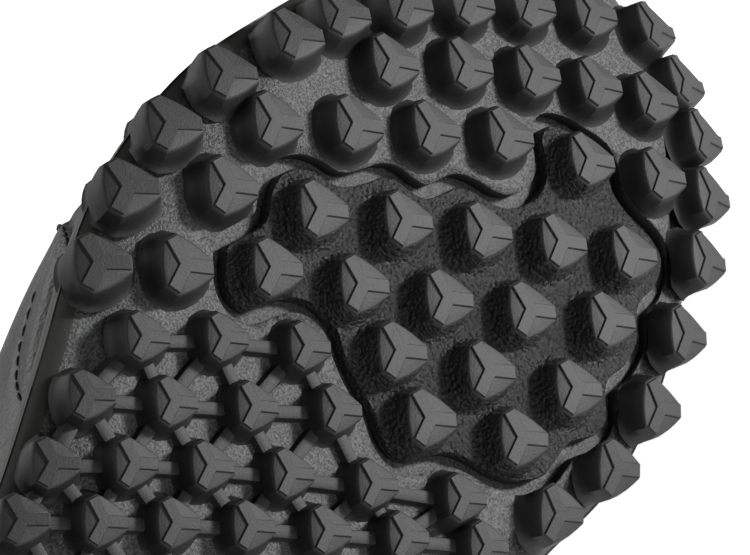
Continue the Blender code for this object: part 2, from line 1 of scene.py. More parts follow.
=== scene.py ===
"""The looks of the black turf shoe that lies on its inner side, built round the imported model."""

import math
from collections import namedtuple

import bmesh
import bpy
import numpy as np
from mathutils import Matrix, Vector
from mathutils.geometry import delaunay_2d_cdt


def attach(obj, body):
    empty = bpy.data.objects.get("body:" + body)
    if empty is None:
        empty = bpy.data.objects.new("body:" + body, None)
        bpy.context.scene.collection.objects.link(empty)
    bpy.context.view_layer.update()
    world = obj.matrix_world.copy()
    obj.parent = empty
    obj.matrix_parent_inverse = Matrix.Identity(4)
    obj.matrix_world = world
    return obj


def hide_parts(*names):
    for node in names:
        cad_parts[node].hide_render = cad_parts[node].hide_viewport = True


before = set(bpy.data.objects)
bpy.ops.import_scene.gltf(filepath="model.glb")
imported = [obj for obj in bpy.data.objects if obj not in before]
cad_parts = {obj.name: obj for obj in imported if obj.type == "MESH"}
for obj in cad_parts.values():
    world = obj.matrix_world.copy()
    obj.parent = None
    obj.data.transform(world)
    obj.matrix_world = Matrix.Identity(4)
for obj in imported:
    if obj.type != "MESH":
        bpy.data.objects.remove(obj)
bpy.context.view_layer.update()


# How the shoe lies
# It is worked out standing, heel at x = 0, toe towards +X, inner side towards +Y. Then it is laid on its
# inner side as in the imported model: on the sole's edge at heel and ball and on the upper's heel quarter.
TOE_LIFT = math.radians(7.0295)
LEAN = math.radians(-2.2500)
HEEL_PLACE = Vector((-0.14432, -0.05294, 0.02438))
along_way = Vector((math.cos(TOE_LIFT), 0.0, math.sin(TOE_LIFT)))
up_way = Vector((-math.sin(LEAN) * math.sin(TOE_LIFT), math.cos(LEAN), math.sin(LEAN) * math.cos(TOE_LIFT)))
across_way = up_way.cross(along_way)
LYING = Matrix.Translation(HEEL_PLACE) @ Matrix((along_way, across_way, up_way)).transposed().to_4x4()


# Camera
# The photo looks up at the sole from behind the heel's outer side, with the shoe rolled so that its toe
# points to the upper right. Distance and lens give the photo's 6.4 pixels a millimetre at the ball.
CAMERA_PLACE = Vector((-0.1680, -0.2574, -0.6108))
CAMERA_RIGHT = Vector((0.3715, 0.7604, -0.5327))
CAMERA_UP = Vector((0.7903, -0.5602, -0.2484))
PHOTO_WIDTH = 750
FOCAL_PIXELS = 4864
SENSOR_WIDTH = 36.0

lens_holder = bpy.data.cameras.new("camera")
lens_holder.sensor_width = SENSOR_WIDTH
lens_holder.lens = FOCAL_PIXELS / PHOTO_WIDTH * SENSOR_WIDTH
lens_holder.clip_start = 0.01
camera = bpy.data.objects.new("camera", lens_holder)
bpy.context.scene.collection.objects.link(camera)
view_turn = Matrix((CAMERA_RIGHT, CAMERA_UP, CAMERA_RIGHT.cross(CAMERA_UP))).transposed().to_4x4()
camera.matrix_world = LYING @ Matrix.Translation(CAMERA_PLACE) @ view_turn
bpy.context.scene.camera = camera


# Studio
# A light table: a white sheet with a small hard lamp that shines up through it along the sole, two wide
# weak lamps, over the far side of the shoe and at its outer edge, and a dim room.
SHEET_SIZE = 6.0
PAPER = "F4F4F3"
PAPER_GLOW = 0.95
ROOM_GLOW = 0.06
LAMP_DISTANCE = 1.2


def linear(hex_colour):
    """An sRGB hex colour as linear red, green, blue and alpha."""
    colour = []
    for index in (0, 2, 4):
        value = int(hex_colour[index:index + 2], 16) / 255.0
        colour.append(value / 12.92 if value <= 0.04045 else ((value + 0.055) / 1.055) ** 2.4)
    return colour + [1.0]


def add_node(tree, kind, settings=None, links=None):
    """Adds a shader node; settings name its properties or input sockets, links name (node, output) pairs."""
    node = tree.nodes.new(kind)
    for name, value in (settings or {}).items():
        if isinstance(name, str) and hasattr(node, name):
            setattr(node, name, value)
        else:
            node.inputs[name].default_value = value
    for name, (source, output) in (links or {}).items():
        tree.links.new(source.outputs[output], node.inputs[name])
    return node


def new_material(name, colour, roughness, **settings):
    """A Principled material, returned with its tree and shader."""
    material = bpy.data.materials.new(name)
    material.use_nodes = True
    tree = material.node_tree
    shader = tree.nodes["Principled BSDF"]
    shader.inputs["Base Color"].default_value = linear(colour)
    shader.inputs["Roughness"].default_value = roughness
    for socket, value in settings.items():
        shader.inputs[socket.replace("_", " ")].default_value = value
    return material, tree, shader


# Matt paper, lit through from below as on a light table, so that it prints as pure white
paper_material, _, _ = new_material("matt_paper", PAPER, 0.9, Emission_Strength=PAPER_GLOW)
paper_material.node_tree.nodes["Principled BSDF"].inputs["Emission Color"].default_value = linear("FFFFFF")
bpy.ops.mesh.primitive_plane_add(size=SHEET_SIZE, location=(0.0, 0.0, 0.0))
paper = bpy.context.object
paper.name = "paper_sheet"
paper.data.materials.append(paper_material)
paper.visible_shadow = False

# Plain colour, as a product photo on white is printed
bpy.context.scene.view_settings.view_transform = "Standard"

room = bpy.data.worlds.new("pale_room")
room.use_nodes = True
room.node_tree.nodes["Background"].inputs["Color"].default_value = linear("FFFFFF")
room.node_tree.nodes["Background"].inputs["Strength"].default_value = ROOM_GLOW
bpy.context.scene.world = room


# Lamps are placed as the picture shows them: shares to its right, to its top and towards the viewer.
LIT_POINT = Vector((0.205, 0.0, 0.0))
picture_ways = (CAMERA_RIGHT, CAMERA_UP, CAMERA_RIGHT.cross(CAMERA_UP))


def soft_lamp(name, shares, power, size):
    """A square area lamp that looks at the ball of the shoe."""
    lamp = bpy.data.lights.new(name, "AREA")
    lamp.energy = power
    lamp.size = size
    holder = bpy.data.objects.new(name, lamp)
    bpy.context.scene.collection.objects.link(holder)
    way = Vector((0.0, 0.0, 0.0))
    for share, picture_way in zip(shares, picture_ways):
        way += share * picture_way
    way = LYING.to_3x3() @ way.normalized()
    holder.location = LYING @ LIT_POINT + LAMP_DISTANCE * way
    holder.rotation_euler = (-way).to_track_quat("-Z", "Y").to_euler()


soft_lamp("table_lamp", (1.0, 0.50, 0.20), power=17.0, size=0.18)
soft_lamp("rim_lamp", (-0.70, 0.35, -0.45), power=3.6, size=0.8)
soft_lamp("fill_lamp", (-0.90, 0.40, 0.50), power=3.4, size=1.0)


# Outsole
# A cupsole moulded in one piece of black rubber: a round shoulder, a wall that leans in to a thin rim,
# a sandy tread floor, and lugs. Each lug is a triangle with cut corners and a level Y between three facets.
LENGTH = 0.290
BALL_WIDTH = 0.105
INSTEP_HEIGHT = 0.100
LUG_HEIGHT = 0.0046
SOLE_THICKNESS = 0.0044
HEEL_WEDGE = 0.0045
RIM_HEIGHT = 0.0140
TOE_BUMPER = 0.0070
HEEL_CUP = 0.0060
CUP_WALL = 0.0028
TOE_SPRING_START = 0.194
TOE_SPRING_RADIUS = 0.300
HEEL_BEVEL_LENGTH = 0.028
HEEL_BEVEL_RISE = 0.0045
ARCH_RISE = 0.0030
ARCH_CENTRE = 0.112
ARCH_HALF_LENGTH = 0.045
EDGE_CURL = 0.0024
EDGE_CURL_REACH = 0.014
SHOULDER_REACH = 0.0060
LUG_ARM = 0.0047
LUG_ARM_WIDTH = 0.0022
LATTICE_LUG_SCALE = 0.82
HIDDEN_ROW_PITCH = 0.0148
HIDDEN_LUG_PITCH = 0.0148
LUG_EDGE_MARGIN = 0.0068
FIT_GAP = 0.0003
WEDGE_END = 0.25
WEDGE_RUN = 0.40
BUMPER_START = 0.78
BUMPER_RUN = 0.20
HEEL_CUP_REACH = 0.30
LOOP_STEP = 0.05
TREAD_STEP = 0.0015
EDGE_PARTS = 8
SOLE_PARTS = 10

# A row for each rib across the shoe, heel to toe: along in shares of LENGTH, outer, inner, mouth_outer,
# mouth_inner and lean in shares of BALL_WIDTH, mouth_height, rise and drop in shares of INSTEP_HEIGHT, and
# reach as a share of the level way from the mouth out to the rim.
Rib = namedtuple(
    "Rib",
    "outer_along outer inner_along inner "
    "mouth_along mouth_outer mouth_inner mouth_height rise reach drop lean",
)
RIBS = [
    Rib(0.000, -0.048, 0.000, -0.048, 0.055, -0.048, -0.048, 0.86, 0.22, 0.10, 0.20, 0.014),
    Rib(0.028, -0.255, 0.025, 0.170, 0.070, -0.195, 0.100, 0.85, 0.21, 0.14, 0.20, 0.016),
    Rib(0.097, -0.365, 0.090, 0.265, 0.125, -0.312, 0.236, 0.76, 0.18, 0.22, 0.22, 0.020),
    Rib(0.207, -0.390, 0.200, 0.276, 0.212, -0.338, 0.262, 0.69, 0.16, 0.30, 0.20, 0.022),
    Rib(0.328, -0.404, 0.317, 0.250, 0.308, -0.288, 0.214, 0.77, 0.20, 0.36, 0.17, 0.022),
    Rib(0.448, -0.423, 0.430, 0.252, 0.388, -0.168, 0.100, 0.97, 0.26, 0.42, 0.12, 0.021),
    Rib(0.545, -0.467, 0.524, 0.300, 0.476, -0.140, 0.086, 0.87, 0.24, 0.46, 0.08, 0.020),
    Rib(0.645, -0.510, 0.620, 0.386, 0.566, -0.118, 0.076, 0.76, 0.22, 0.50, 0.05, 0.018),
    Rib(0.734, -0.478, 0.700, 0.457, 0.634, -0.092, 0.062, 0.68, 0.20, 0.52, 0.03, 0.012),
    Rib(0.807, -0.390, 0.786, 0.464, 0.656, -0.056, 0.036, 0.66, 0.20, 0.52, 0.02, 0.008),
    Rib(0.888, -0.262, 0.876, 0.422, 0.662, -0.030, 0.016, 0.655, 0.19, 0.52, 0.02, 0.008),
    Rib(0.962, -0.114, 0.955, 0.310, 0.664, -0.014, 0.003, 0.652, 0.18, 0.52, 0.02, 0.008),
    Rib(1.000, 0.095, 1.000, 0.095, 0.665, -0.005, -0.005, 0.650, 0.18, 0.52, 0.02, 0.008),
]
LOOP_LENGTH = 2 * (len(RIBS) - 1)
HEEL_CENTRE = -0.048
TOE_CENTRE = 0.110
SPINE_START = 0.11
SPINE_END = 0.87

# Rows of lugs, outer end first: three places on each row as shares of LENGTH and BALL_WIDTH, and a count.
LugRow = namedtuple("LugRow", "zone first_along first middle_along middle last_along last count")
LUG_ROWS = [
    LugRow("front", 0.820, -0.295, 0.898, -0.062, 0.961, 0.215, 6),
    LugRow("front", 0.813, -0.197, 0.871, 0.035, 0.912, 0.248, 5),
    LugRow("front", 0.733, -0.332, 0.778, -0.152, 0.821, 0.027, 4),
    LugRow("front", 0.867, 0.301, 0.867, 0.301, 0.867, 0.301, 1),
    LugRow("front", 0.683, -0.353, 0.656, -0.357, 0.628, -0.361, 2),
    LugRow("front", 0.788, -0.350, 0.695, -0.463, 0.603, -0.464, 5),
    LugRow("front", 0.941, 0.295, 0.900, 0.379, 0.840, 0.423, 4),
    LugRow("front", 0.787, 0.430, 0.711, 0.420, 0.642, 0.343, 4),
    LugRow("pod", 0.843, 0.173, 0.843, 0.173, 0.843, 0.173, 1),
    LugRow("pod", 0.705, -0.208, 0.758, 0.051, 0.807, 0.296, 5),
    LugRow("pod", 0.659, -0.234, 0.707, 0.035, 0.760, 0.300, 5),
    LugRow("pod", 0.663, 0.001, 0.686, 0.145, 0.710, 0.290, 3),
    LugRow("pod", 0.640, 0.089, 0.652, 0.164, 0.664, 0.239, 2),
    LugRow("lattice", 0.580, -0.365, 0.607, -0.257, 0.632, -0.135, 3),
    LugRow("lattice", 0.535, -0.395, 0.571, -0.227, 0.612, -0.048, 4),
    LugRow("lattice", 0.494, -0.392, 0.552, -0.134, 0.613, 0.193, 6),
    LugRow("lattice", 0.460, -0.390, 0.526, -0.094, 0.598, 0.256, 7),
]

Lug = namedtuple("Lug", "place size zone")


def blend(low, high, amount):
    return low + (high - low) * amount


def ease(value):
    """A soft step from 0 to 1."""
    value = np.clip(value, 0.0, 1.0)
    return value * value * (3.0 - 2.0 * value)


def unit(vectors):
    return vectors / np.linalg.norm(vectors, axis=-1, keepdims=True)


def loop_columns():
    """The ribs as one closed loop: up the outer side to the toe and back down the inner side."""
    rows = []
    for index in range(LOOP_LENGTH):
        outer = index < len(RIBS)
        rib = RIBS[index] if outer else RIBS[LOOP_LENGTH - index]
        edge = (rib.outer_along, rib.outer) if outer else (rib.inner_along, rib.inner)
        mouth = rib.mouth_outer if outer else rib.mouth_inner
        curve = (rib.mouth_height, rib.rise, rib.reach, rib.drop)
        rows.append(edge + (rib.mouth_along, mouth) + curve + (rib.lean,))
    return np.array(rows)


COLUMNS = loop_columns()


def catmull_rom(p0, p1, p2, p3, part):
    """A part of the way from p1 to p2, on a smooth curve through all knots."""
    return 0.5 * (
        2 * p1
        + (p2 - p0) * part
        + (2 * p0 - 5 * p1 + 4 * p2 - p3) * part ** 2
        + (3 * p1 - p0 - 3 * p2 + p3) * part ** 3
    )


def at_loop(places):
    """All columns at places on the loop, by a closed smooth curve."""
    places = np.atleast_1d(np.asarray(places, float))
    index = np.floor(places).astype(int)
    part = (places - index)[:, None]
    return catmull_rom(*(COLUMNS[(index + step) % LOOP_LENGTH] for step in (-1, 0, 1, 2)), part)


def share_points(columns):
    return columns * np.array([LENGTH, BALL_WIDTH])


def outline(places, inset=0.0):
    """The sole's edge at places on the loop, moved inwards by the inset."""
    places = np.atleast_1d(np.asarray(places, float))
    points = share_points(at_loop(places)[:, :2])
    ahead = at_loop(places + LOOP_STEP)[:, :2]
    way = unit(share_points(ahead - at_loop(places - LOOP_STEP)[:, :2]))
    return points + np.reshape(inset, (-1, 1)) * np.stack([-way[:, 1], way[:, 0]], axis=1)


def lean(places):
    """How far the rim of the side wall stands inside the sole's edge."""
    return at_loop(places)[:, 8] * BALL_WIDTH


EDGE_LINE = outline(np.arange(LOOP_LENGTH * EDGE_PARTS) / EDGE_PARTS)


def line_distance(points, line):
    """How far places lie inside a closed line, negative outside, and the way that leads further in."""
    ways = np.roll(line, -1, axis=0) - line
    rel = points[:, None, :] - line[None]
    share = np.clip((rel * ways).sum(2) / (ways * ways).sum(1), 0.0, 1.0)
    gaps = rel - ways[None] * share[..., None]
    nearest = np.linalg.norm(gaps, axis=2).argmin(1)
    rows = np.arange(len(points))
    gaps = gaps[rows, nearest]
    rel = rel[rows, nearest]
    ways = ways[nearest]
    side = np.where(ways[:, 0] * rel[:, 1] - ways[:, 1] * rel[:, 0] > 0, 1.0, -1.0)
    lengths = np.linalg.norm(gaps, axis=1)
    return side * lengths, side[:, None] * gaps / np.maximum(lengths, 1e-9)[:, None]


def edge_distance(points):
    """How far places on the sole lie from its edge, negative outside."""
    return line_distance(points, EDGE_LINE)[0]


def lengthwise(along):
    """Height of the tread along the shoe: heel bevel, arch and toe spring."""
    spring = np.maximum(0.0, along - TOE_SPRING_START) ** 2 / (2.0 * TOE_SPRING_RADIUS)
    bevel = HEEL_BEVEL_RISE * (np.maximum(0.0, HEEL_BEVEL_LENGTH - along) / HEEL_BEVEL_LENGTH) ** 2
    return spring + bevel + ARCH_RISE * ease(1.0 - np.abs(along - ARCH_CENTRE) / ARCH_HALF_LENGTH)


def tread(points, depth=0.0):
    """Points of the tread, depth above the lug tips; the tread curls up near the edge."""
    points = np.atleast_2d(points)
    inside = np.maximum(0.0, edge_distance(points))
    curl = EDGE_CURL * np.maximum(0.0, 1.0 - inside / EDGE_CURL_REACH) ** 2
    return np.column_stack([points, lengthwise(points[:, 0]) + curl + depth])


def tread_frame(place, depth):
    """A point of the tread with two directions in its face and the downward normal."""
    steps = np.array([[0.0, 0.0], [1.0, 0.0], [-1.0, 0.0], [0.0, 1.0], [0.0, -1.0]])
    around = place + TREAD_STEP * steps
    centre, ahead, behind, inner, outer = tread(around, depth)
    along = unit(ahead - behind)
    down = unit(np.cross(inner - outer, along))
    return centre, along, np.cross(along, down), down


def cup_floor(along):
    """Height of the floor inside the cup, thicker under the heel."""
    wedge = HEEL_WEDGE * (1.0 - ease((along / LENGTH - WEDGE_END) / WEDGE_RUN))
    return lengthwise(along) + LUG_HEIGHT + SOLE_THICKNESS + wedge


def rim_height(along):
    """Height of the cup's rim over the lug tips."""
    share = along / LENGTH
    bumper = TOE_BUMPER * ease((share - BUMPER_START) / BUMPER_RUN)
    return RIM_HEIGHT + bumper + HEEL_CUP * (1.0 - ease(share / HEEL_CUP_REACH))


def spine(places):
    """The middle of the rib at these places, kept inside the round ends."""
    along = 0.5 * (at_loop(places)[:, 0] + at_loop(LOOP_LENGTH - places)[:, 0])
    along = np.clip(along, SPINE_START, SPINE_END)
    return share_points(np.column_stack([along, blend(HEEL_CENTRE, TOE_CENTRE, along)]))


def lug_list():
    """Every lug: the rows that show, and more rows of the same slant back to the heel."""
    lugs = []
    for row in LUG_ROWS:
        first = share_points(np.array([row.first_along, row.first]))
        middle = share_points(np.array([row.middle_along, row.middle]))
        last = share_points(np.array([row.last_along, row.last]))
        bow = 4.0 * (middle - 0.5 * (first + last))
        size = LATTICE_LUG_SCALE if row.zone == "lattice" else 1.0
        for index in range(row.count):
            share = index / max(1, row.count - 1)
            lugs.append(Lug(blend(first, last, share) + bow * share * (1.0 - share), size, row.zone))
    way = unit(last - first)
    for row_index in range(1, int(first[0] / HIDDEN_ROW_PITCH) + 6):
        start = first - np.array([HIDDEN_ROW_PITCH * row_index, 0.0])
        for index in range(-3, 9):
            place = start + way * HIDDEN_LUG_PITCH * index
            if edge_distance(place[None])[0] > LUG_EDGE_MARGIN and place[0] > LUG_EDGE_MARGIN:
                lugs.append(Lug(place, LATTICE_LUG_SCALE, "lattice"))
    return lugs


LUGS = lug_list()


class Shell:
    """Points and faces of one piece, with a finish number for each face, before they become a mesh."""

    def __init__(self):
        self.points = []
        self.faces = []
        self.finishes = []

    def add(self, points, faces, finishes):
        base = len(self.points)
        self.points += [tuple(point) for point in points]
        self.faces += [tuple(base + corner for corner in face) for face in faces]
        self.finishes += finishes

    def loft(self, rings, finishes, closed=True):
        """Adds quads between rings of equally many points, with one finish or one for each step."""
        count = len(rings[0])
        faces = []
        numbers = []
        for ring in range(len(rings) - 1):
            low, high = ring * count, (ring + 1) * count
            for index in range(count if closed else count - 1):
                after = (index + 1) % count
                faces.append((low + index, low + after, high + after, high + index))
                numbers.append(finishes if isinstance(finishes, int) else finishes[ring])
        self.add([point for ring in rings for point in ring], faces, numbers)

    def build(self, name, materials, sharp_degrees=40.0, weld=0.00001):
        """Makes the object in its lying place, flat where it meets the floor."""
        mesh = bpy.data.meshes.new(name)
        mesh.from_pydata(self.points, [], self.faces)
        for material in materials:
            mesh.materials.append(material)
        mesh.polygons.foreach_set("material_index", self.finishes)
        bm = bmesh.new()
        bm.from_mesh(mesh)
        bmesh.ops.remove_doubles(bm, verts=bm.verts, dist=weld)
        bmesh.ops.dissolve_degenerate(bm, edges=bm.edges, dist=weld)
        bmesh.ops.recalc_face_normals(bm, faces=bm.faces)
        bm.transform(LYING)
        for vert in bm.verts:
            vert.co.z = max(vert.co.z, 0.0)
        bm.to_mesh(mesh)
        bm.free()
        mesh.shade_smooth()
        mesh.set_sharp_from_angle(angle=math.radians(sharp_degrees))
        made = bpy.data.objects.new(name, mesh)
        bpy.context.scene.collection.objects.link(made)
        return made


def cut_away(made, cutter):
    """Takes the cutter out of a closed piece and removes the cutter."""
    modifier = made.modifiers.new("cut", "BOOLEAN")
    modifier.operation = "DIFFERENCE"
    modifier.solver = "EXACT"
    modifier.object = cutter
    with bpy.context.temp_override(object=made, active_object=made, selected_objects=[made]):
        bpy.ops.object.modifier_apply(modifier=modifier.name)
    bpy.data.objects.remove(cutter, do_unlink=True)


def sheet_rings(places, inset, shares, height):
    """Rings from the spine out to the inset edge, at the height that the function gives."""
    middle = spine(places)
    edge = outline(places, inset)
    rings = []
    for share in shares:
        flat = blend(middle, edge, share)
        rings.append(np.column_stack([flat, height(flat)]))
    return rings


# Finish numbers of the outsole's faces
WALL, SANDY_FLOOR, LUG_SIDE, LUG_TOP, GROOVE = range(5)

# The side wall from the shoulder up over the rim; its height is a share of the rim's height plus extra.
WallStep = namedtuple("WallStep", "inset leaning rim_share extra")
WALL_STEPS = [
    WallStep(0.0060, 0.00, 0.0, LUG_HEIGHT),
    WallStep(0.0044, 0.00, 0.0, LUG_HEIGHT + 0.0001),
    WallStep(0.0030, 0.00, 0.0, LUG_HEIGHT + 0.0005),
    WallStep(0.0019, 0.00, 0.0, LUG_HEIGHT + 0.0010),
    WallStep(0.0010, 0.00, 0.0, LUG_HEIGHT + 0.0017),
    WallStep(0.0004, 0.02, 0.0, LUG_HEIGHT + 0.0025),
    WallStep(0.0001, 0.08, 0.5, -0.0001),
    WallStep(0.0001, 0.20, 0.5, 0.0010),
    WallStep(0.0004, 0.42, 0.5, 0.0023),
    WallStep(0.0006, 0.72, 1.0, -0.0030),
    WallStep(0.0006, 0.82, 1.0, -0.0022),
    WallStep(0.0003, 0.90, 1.0, -0.0017),
    WallStep(0.0000, 0.97, 1.0, -0.0011),
    WallStep(0.0001, 1.00, 1.0, -0.0005),
    WallStep(0.0004, 1.00, 1.0, -0.0001),
    WallStep(0.0009, 1.00, 1.0, 0.0),
    WallStep(CUP_WALL - 0.0004, 1.00, 1.0, 0.0),
    WallStep(CUP_WALL, 1.00, 1.0, -0.0004),
]
FLOOR_SHARES = (0.0, 0.16, 0.32, 0.48, 0.62, 0.74, 0.84, 0.92)

sole_places = np.arange(LOOP_LENGTH * SOLE_PARTS) / SOLE_PARTS
sole_edge = outline(sole_places)
sole_shell = Shell()
sole_rings = sheet_rings(
    sole_places,
    SHOULDER_REACH,
    FLOOR_SHARES,
    lambda flat: tread(flat, LUG_HEIGHT)[:, 2],
)
for step in WALL_STEPS:
    flat = outline(sole_places, step.inset + step.leaning * lean(sole_places))
    height = tread(sole_edge)[:, 2] + step.rim_share * rim_height(sole_edge[:, 0]) + step.extra
    sole_rings.append(np.column_stack([flat, height]))
sole_rings += sheet_rings(
    sole_places,
    CUP_WALL + lean(sole_places),
    (1.0, 0.6, 0.0),
    lambda flat: cup_floor(flat[:, 0]),
)
sole_finishes = [SANDY_FLOOR] * (len(FLOOR_SHARES) + 2)
sole_finishes += [WALL] * (len(sole_rings) - 1 - len(sole_finishes))
sole_shell.loft(sole_rings, sole_finishes)

# The groove round the pod: its middle was traced on the photo, in the photo's pixels, and is laid on
# the tread through the camera. It bends out round the pod's lugs and in round their neighbours.
PHOTO_HEIGHT = 555
GROOVE_WIDTH = 0.0023
POD_THICKNESS = 0.0024
GROOVE_PARTS = 4
RECESS_CUT = -0.006
POD_EDGE_ROOM = 0.0003
RAY_STEPS = 12
GROOVE_IN_PHOTO = [
    (219, 262), (223, 240), (242, 229), (260, 217), (264, 197), (270, 179), (282, 165), (300, 161),
    (318, 166), (336, 177), (350, 179), (366, 175), (381, 170), (396, 172), (412, 184), (426, 191),
    (440, 187), (456, 180), (474, 185), (494, 197), (511, 201), (530, 194), (540, 178), (540, 157),
    (536, 136), (544, 120), (564, 122), (583, 133), (603, 147), (613, 167), (618, 190), (634, 213),
    (656, 236), (667, 262), (661, 289), (646, 306), (643, 322), (643, 345), (630, 370), (614, 384),
    (612, 402), (612, 424), (598, 442), (574, 449), (562, 464), (547, 482), (520, 488), (492, 480),
    (471, 468), (450, 460), (430, 463), (410, 467), (390, 458), (377, 440), (367, 412), (350, 383),
    (338, 355), (331, 332), (314, 313), (293, 305), (270, 310), (250, 317), (231, 307), (221, 287),
]


def on_tread(pixel):
    """The place on the tread's floor that shows at a pixel of the photo."""
    right = (pixel[0] - 0.5 * PHOTO_WIDTH) / FOCAL_PIXELS
    up = (0.5 * PHOTO_HEIGHT - pixel[1]) / FOCAL_PIXELS
    ray = np.array(right * CAMERA_RIGHT + up * CAMERA_UP - CAMERA_RIGHT.cross(CAMERA_UP))
    start = np.array(CAMERA_PLACE)
    reach = -start[2] / ray[2]
    for _ in range(RAY_STEPS):
        place = start + reach * ray
        reach += (tread(place[:2], LUG_HEIGHT)[0, 2] - place[2]) / ray[2]
    return place[:2]


def closed_curve(knots, parts):
    """A closed smooth curve through the knots."""
    line = []
    for part in np.arange(parts) / parts:
        line.append(catmull_rom(*(np.roll(knots, -step, axis=0) for step in (-1, 0, 1, 2)), part))
    return np.stack(line, axis=1).reshape(-1, 2)


GROOVE_LINE = closed_curve(np.array([on_tread(pixel) for pixel in GROOVE_IN_PHOTO]), GROOVE_PARTS)
following = np.roll(GROOVE_LINE, -1, axis=0)
if (GROOVE_LINE[:, 0] * following[:, 1] - GROOVE_LINE[:, 1] * following[:, 0]).sum() < 0:
    GROOVE_LINE = GROOVE_LINE[::-1]
groove_way = unit(np.roll(GROOVE_LINE, -1, axis=0) - np.roll(GROOVE_LINE, 1, axis=0))
GROOVE_INWARD = np.stack([-groove_way[:, 1], groove_way[:, 0]], axis=1)


def groove_ring(inset, depth):
    """A ring along the groove, moved in towards the pod, at a depth over the tread's floor."""
    return tread(GROOVE_LINE + inset * GROOVE_INWARD, LUG_HEIGHT + depth)


SHEET_PITCH = 0.0026
SHEET_ROW_SHARE = 0.87


def add_sheet(shell, inset, depth, finish):
    """Closes the groove's ring with a sheet of small triangles that follows the tread."""
    border = GROOVE_LINE + inset * GROOVE_INWARD
    low, high = border.min(0), border.max(0)
    grid = []
    for row, across in enumerate(np.arange(low[1], high[1], SHEET_PITCH * SHEET_ROW_SHARE)):
        for along in np.arange(low[0] + (row % 2) * 0.5 * SHEET_PITCH, high[0], SHEET_PITCH):
            grid.append((along, across))
    grid = np.array(grid)
    grid = grid[line_distance(grid, border)[0] > 0.5 * SHEET_PITCH]
    flat = [Vector(point) * 1000.0 for point in np.vstack([border, grid])]
    count = len(border)
    edges = [(index, (index + 1) % count) for index in range(count)]
    points, _, faces, _, _, _ = delaunay_2d_cdt(flat, edges, [], 1, 0.0001)
    places = np.array([tuple(point) for point in points]) / 1000.0
    shell.add(tread(places, LUG_HEIGHT + depth), faces, [finish] * len(faces))


half_groove = 0.5 * GROOVE_WIDTH
recess_shell = Shell()
add_sheet(recess_shell, -half_groove, RECESS_CUT, SANDY_FLOOR)
recess_floor = POD_THICKNESS + FIT_GAP
recess_rings = [groove_ring(-half_groove, RECESS_CUT), groove_ring(-half_groove, recess_floor)]
recess_shell.loft(recess_rings, GROOVE)
add_sheet(recess_shell, -half_groove, recess_floor, SANDY_FLOOR)


def keep_side_of_pod(points, inside):
    """Moves places straight off the groove, onto the pod or away from it."""
    distance, inward = line_distance(points, GROOVE_LINE)
    if inside:
        shift = np.maximum(0.0, half_groove + POD_EDGE_ROOM - distance)
    else:
        shift = -np.maximum(0.0, distance + half_groove)
    return points + shift[:, None] * inward


# A lug's top: the Y stands a step over its facets. Both droop a little towards the lug's soft outer edge.
Y_BEVEL = 0.00010
FACET_STEP = 0.00026
ARM_DROOP = 0.00012
FACET_SAG = 0.00012
FACET_BULGE = 0.00028
FACET_FLARE = 0.00004
NOTCH_BEVEL = 1.15
SIDE_SPLAY = 0.6
ROUND_ROOM = 1.04
LONG_EDGE_PARTS = 5
SHORT_EDGE_PARTS = 2

# A lug's side: its height as a share of the top edge's, its spread beyond that edge, and how far it is drawn
# to a circle
SideStep = namedtuple("SideStep", "height spread roundness finish")
LUG_SIDE_STEPS = [
    SideStep(0.985, 0.00014, 0.00, LUG_TOP),
    SideStep(0.930, 0.00034, 0.04, LUG_TOP),
    SideStep(0.830, 0.00050, 0.08, LUG_SIDE),
    SideStep(0.600, 0.00074, 0.18, LUG_SIDE),
    SideStep(0.360, 0.00098, 0.28, LUG_SIDE),
    SideStep(0.180, 0.00124, 0.36, LUG_SIDE),
    SideStep(0.060, 0.00160, 0.42, LUG_SIDE),
    SideStep(-0.020, 0.00210, 0.48, LUG_SIDE),
]


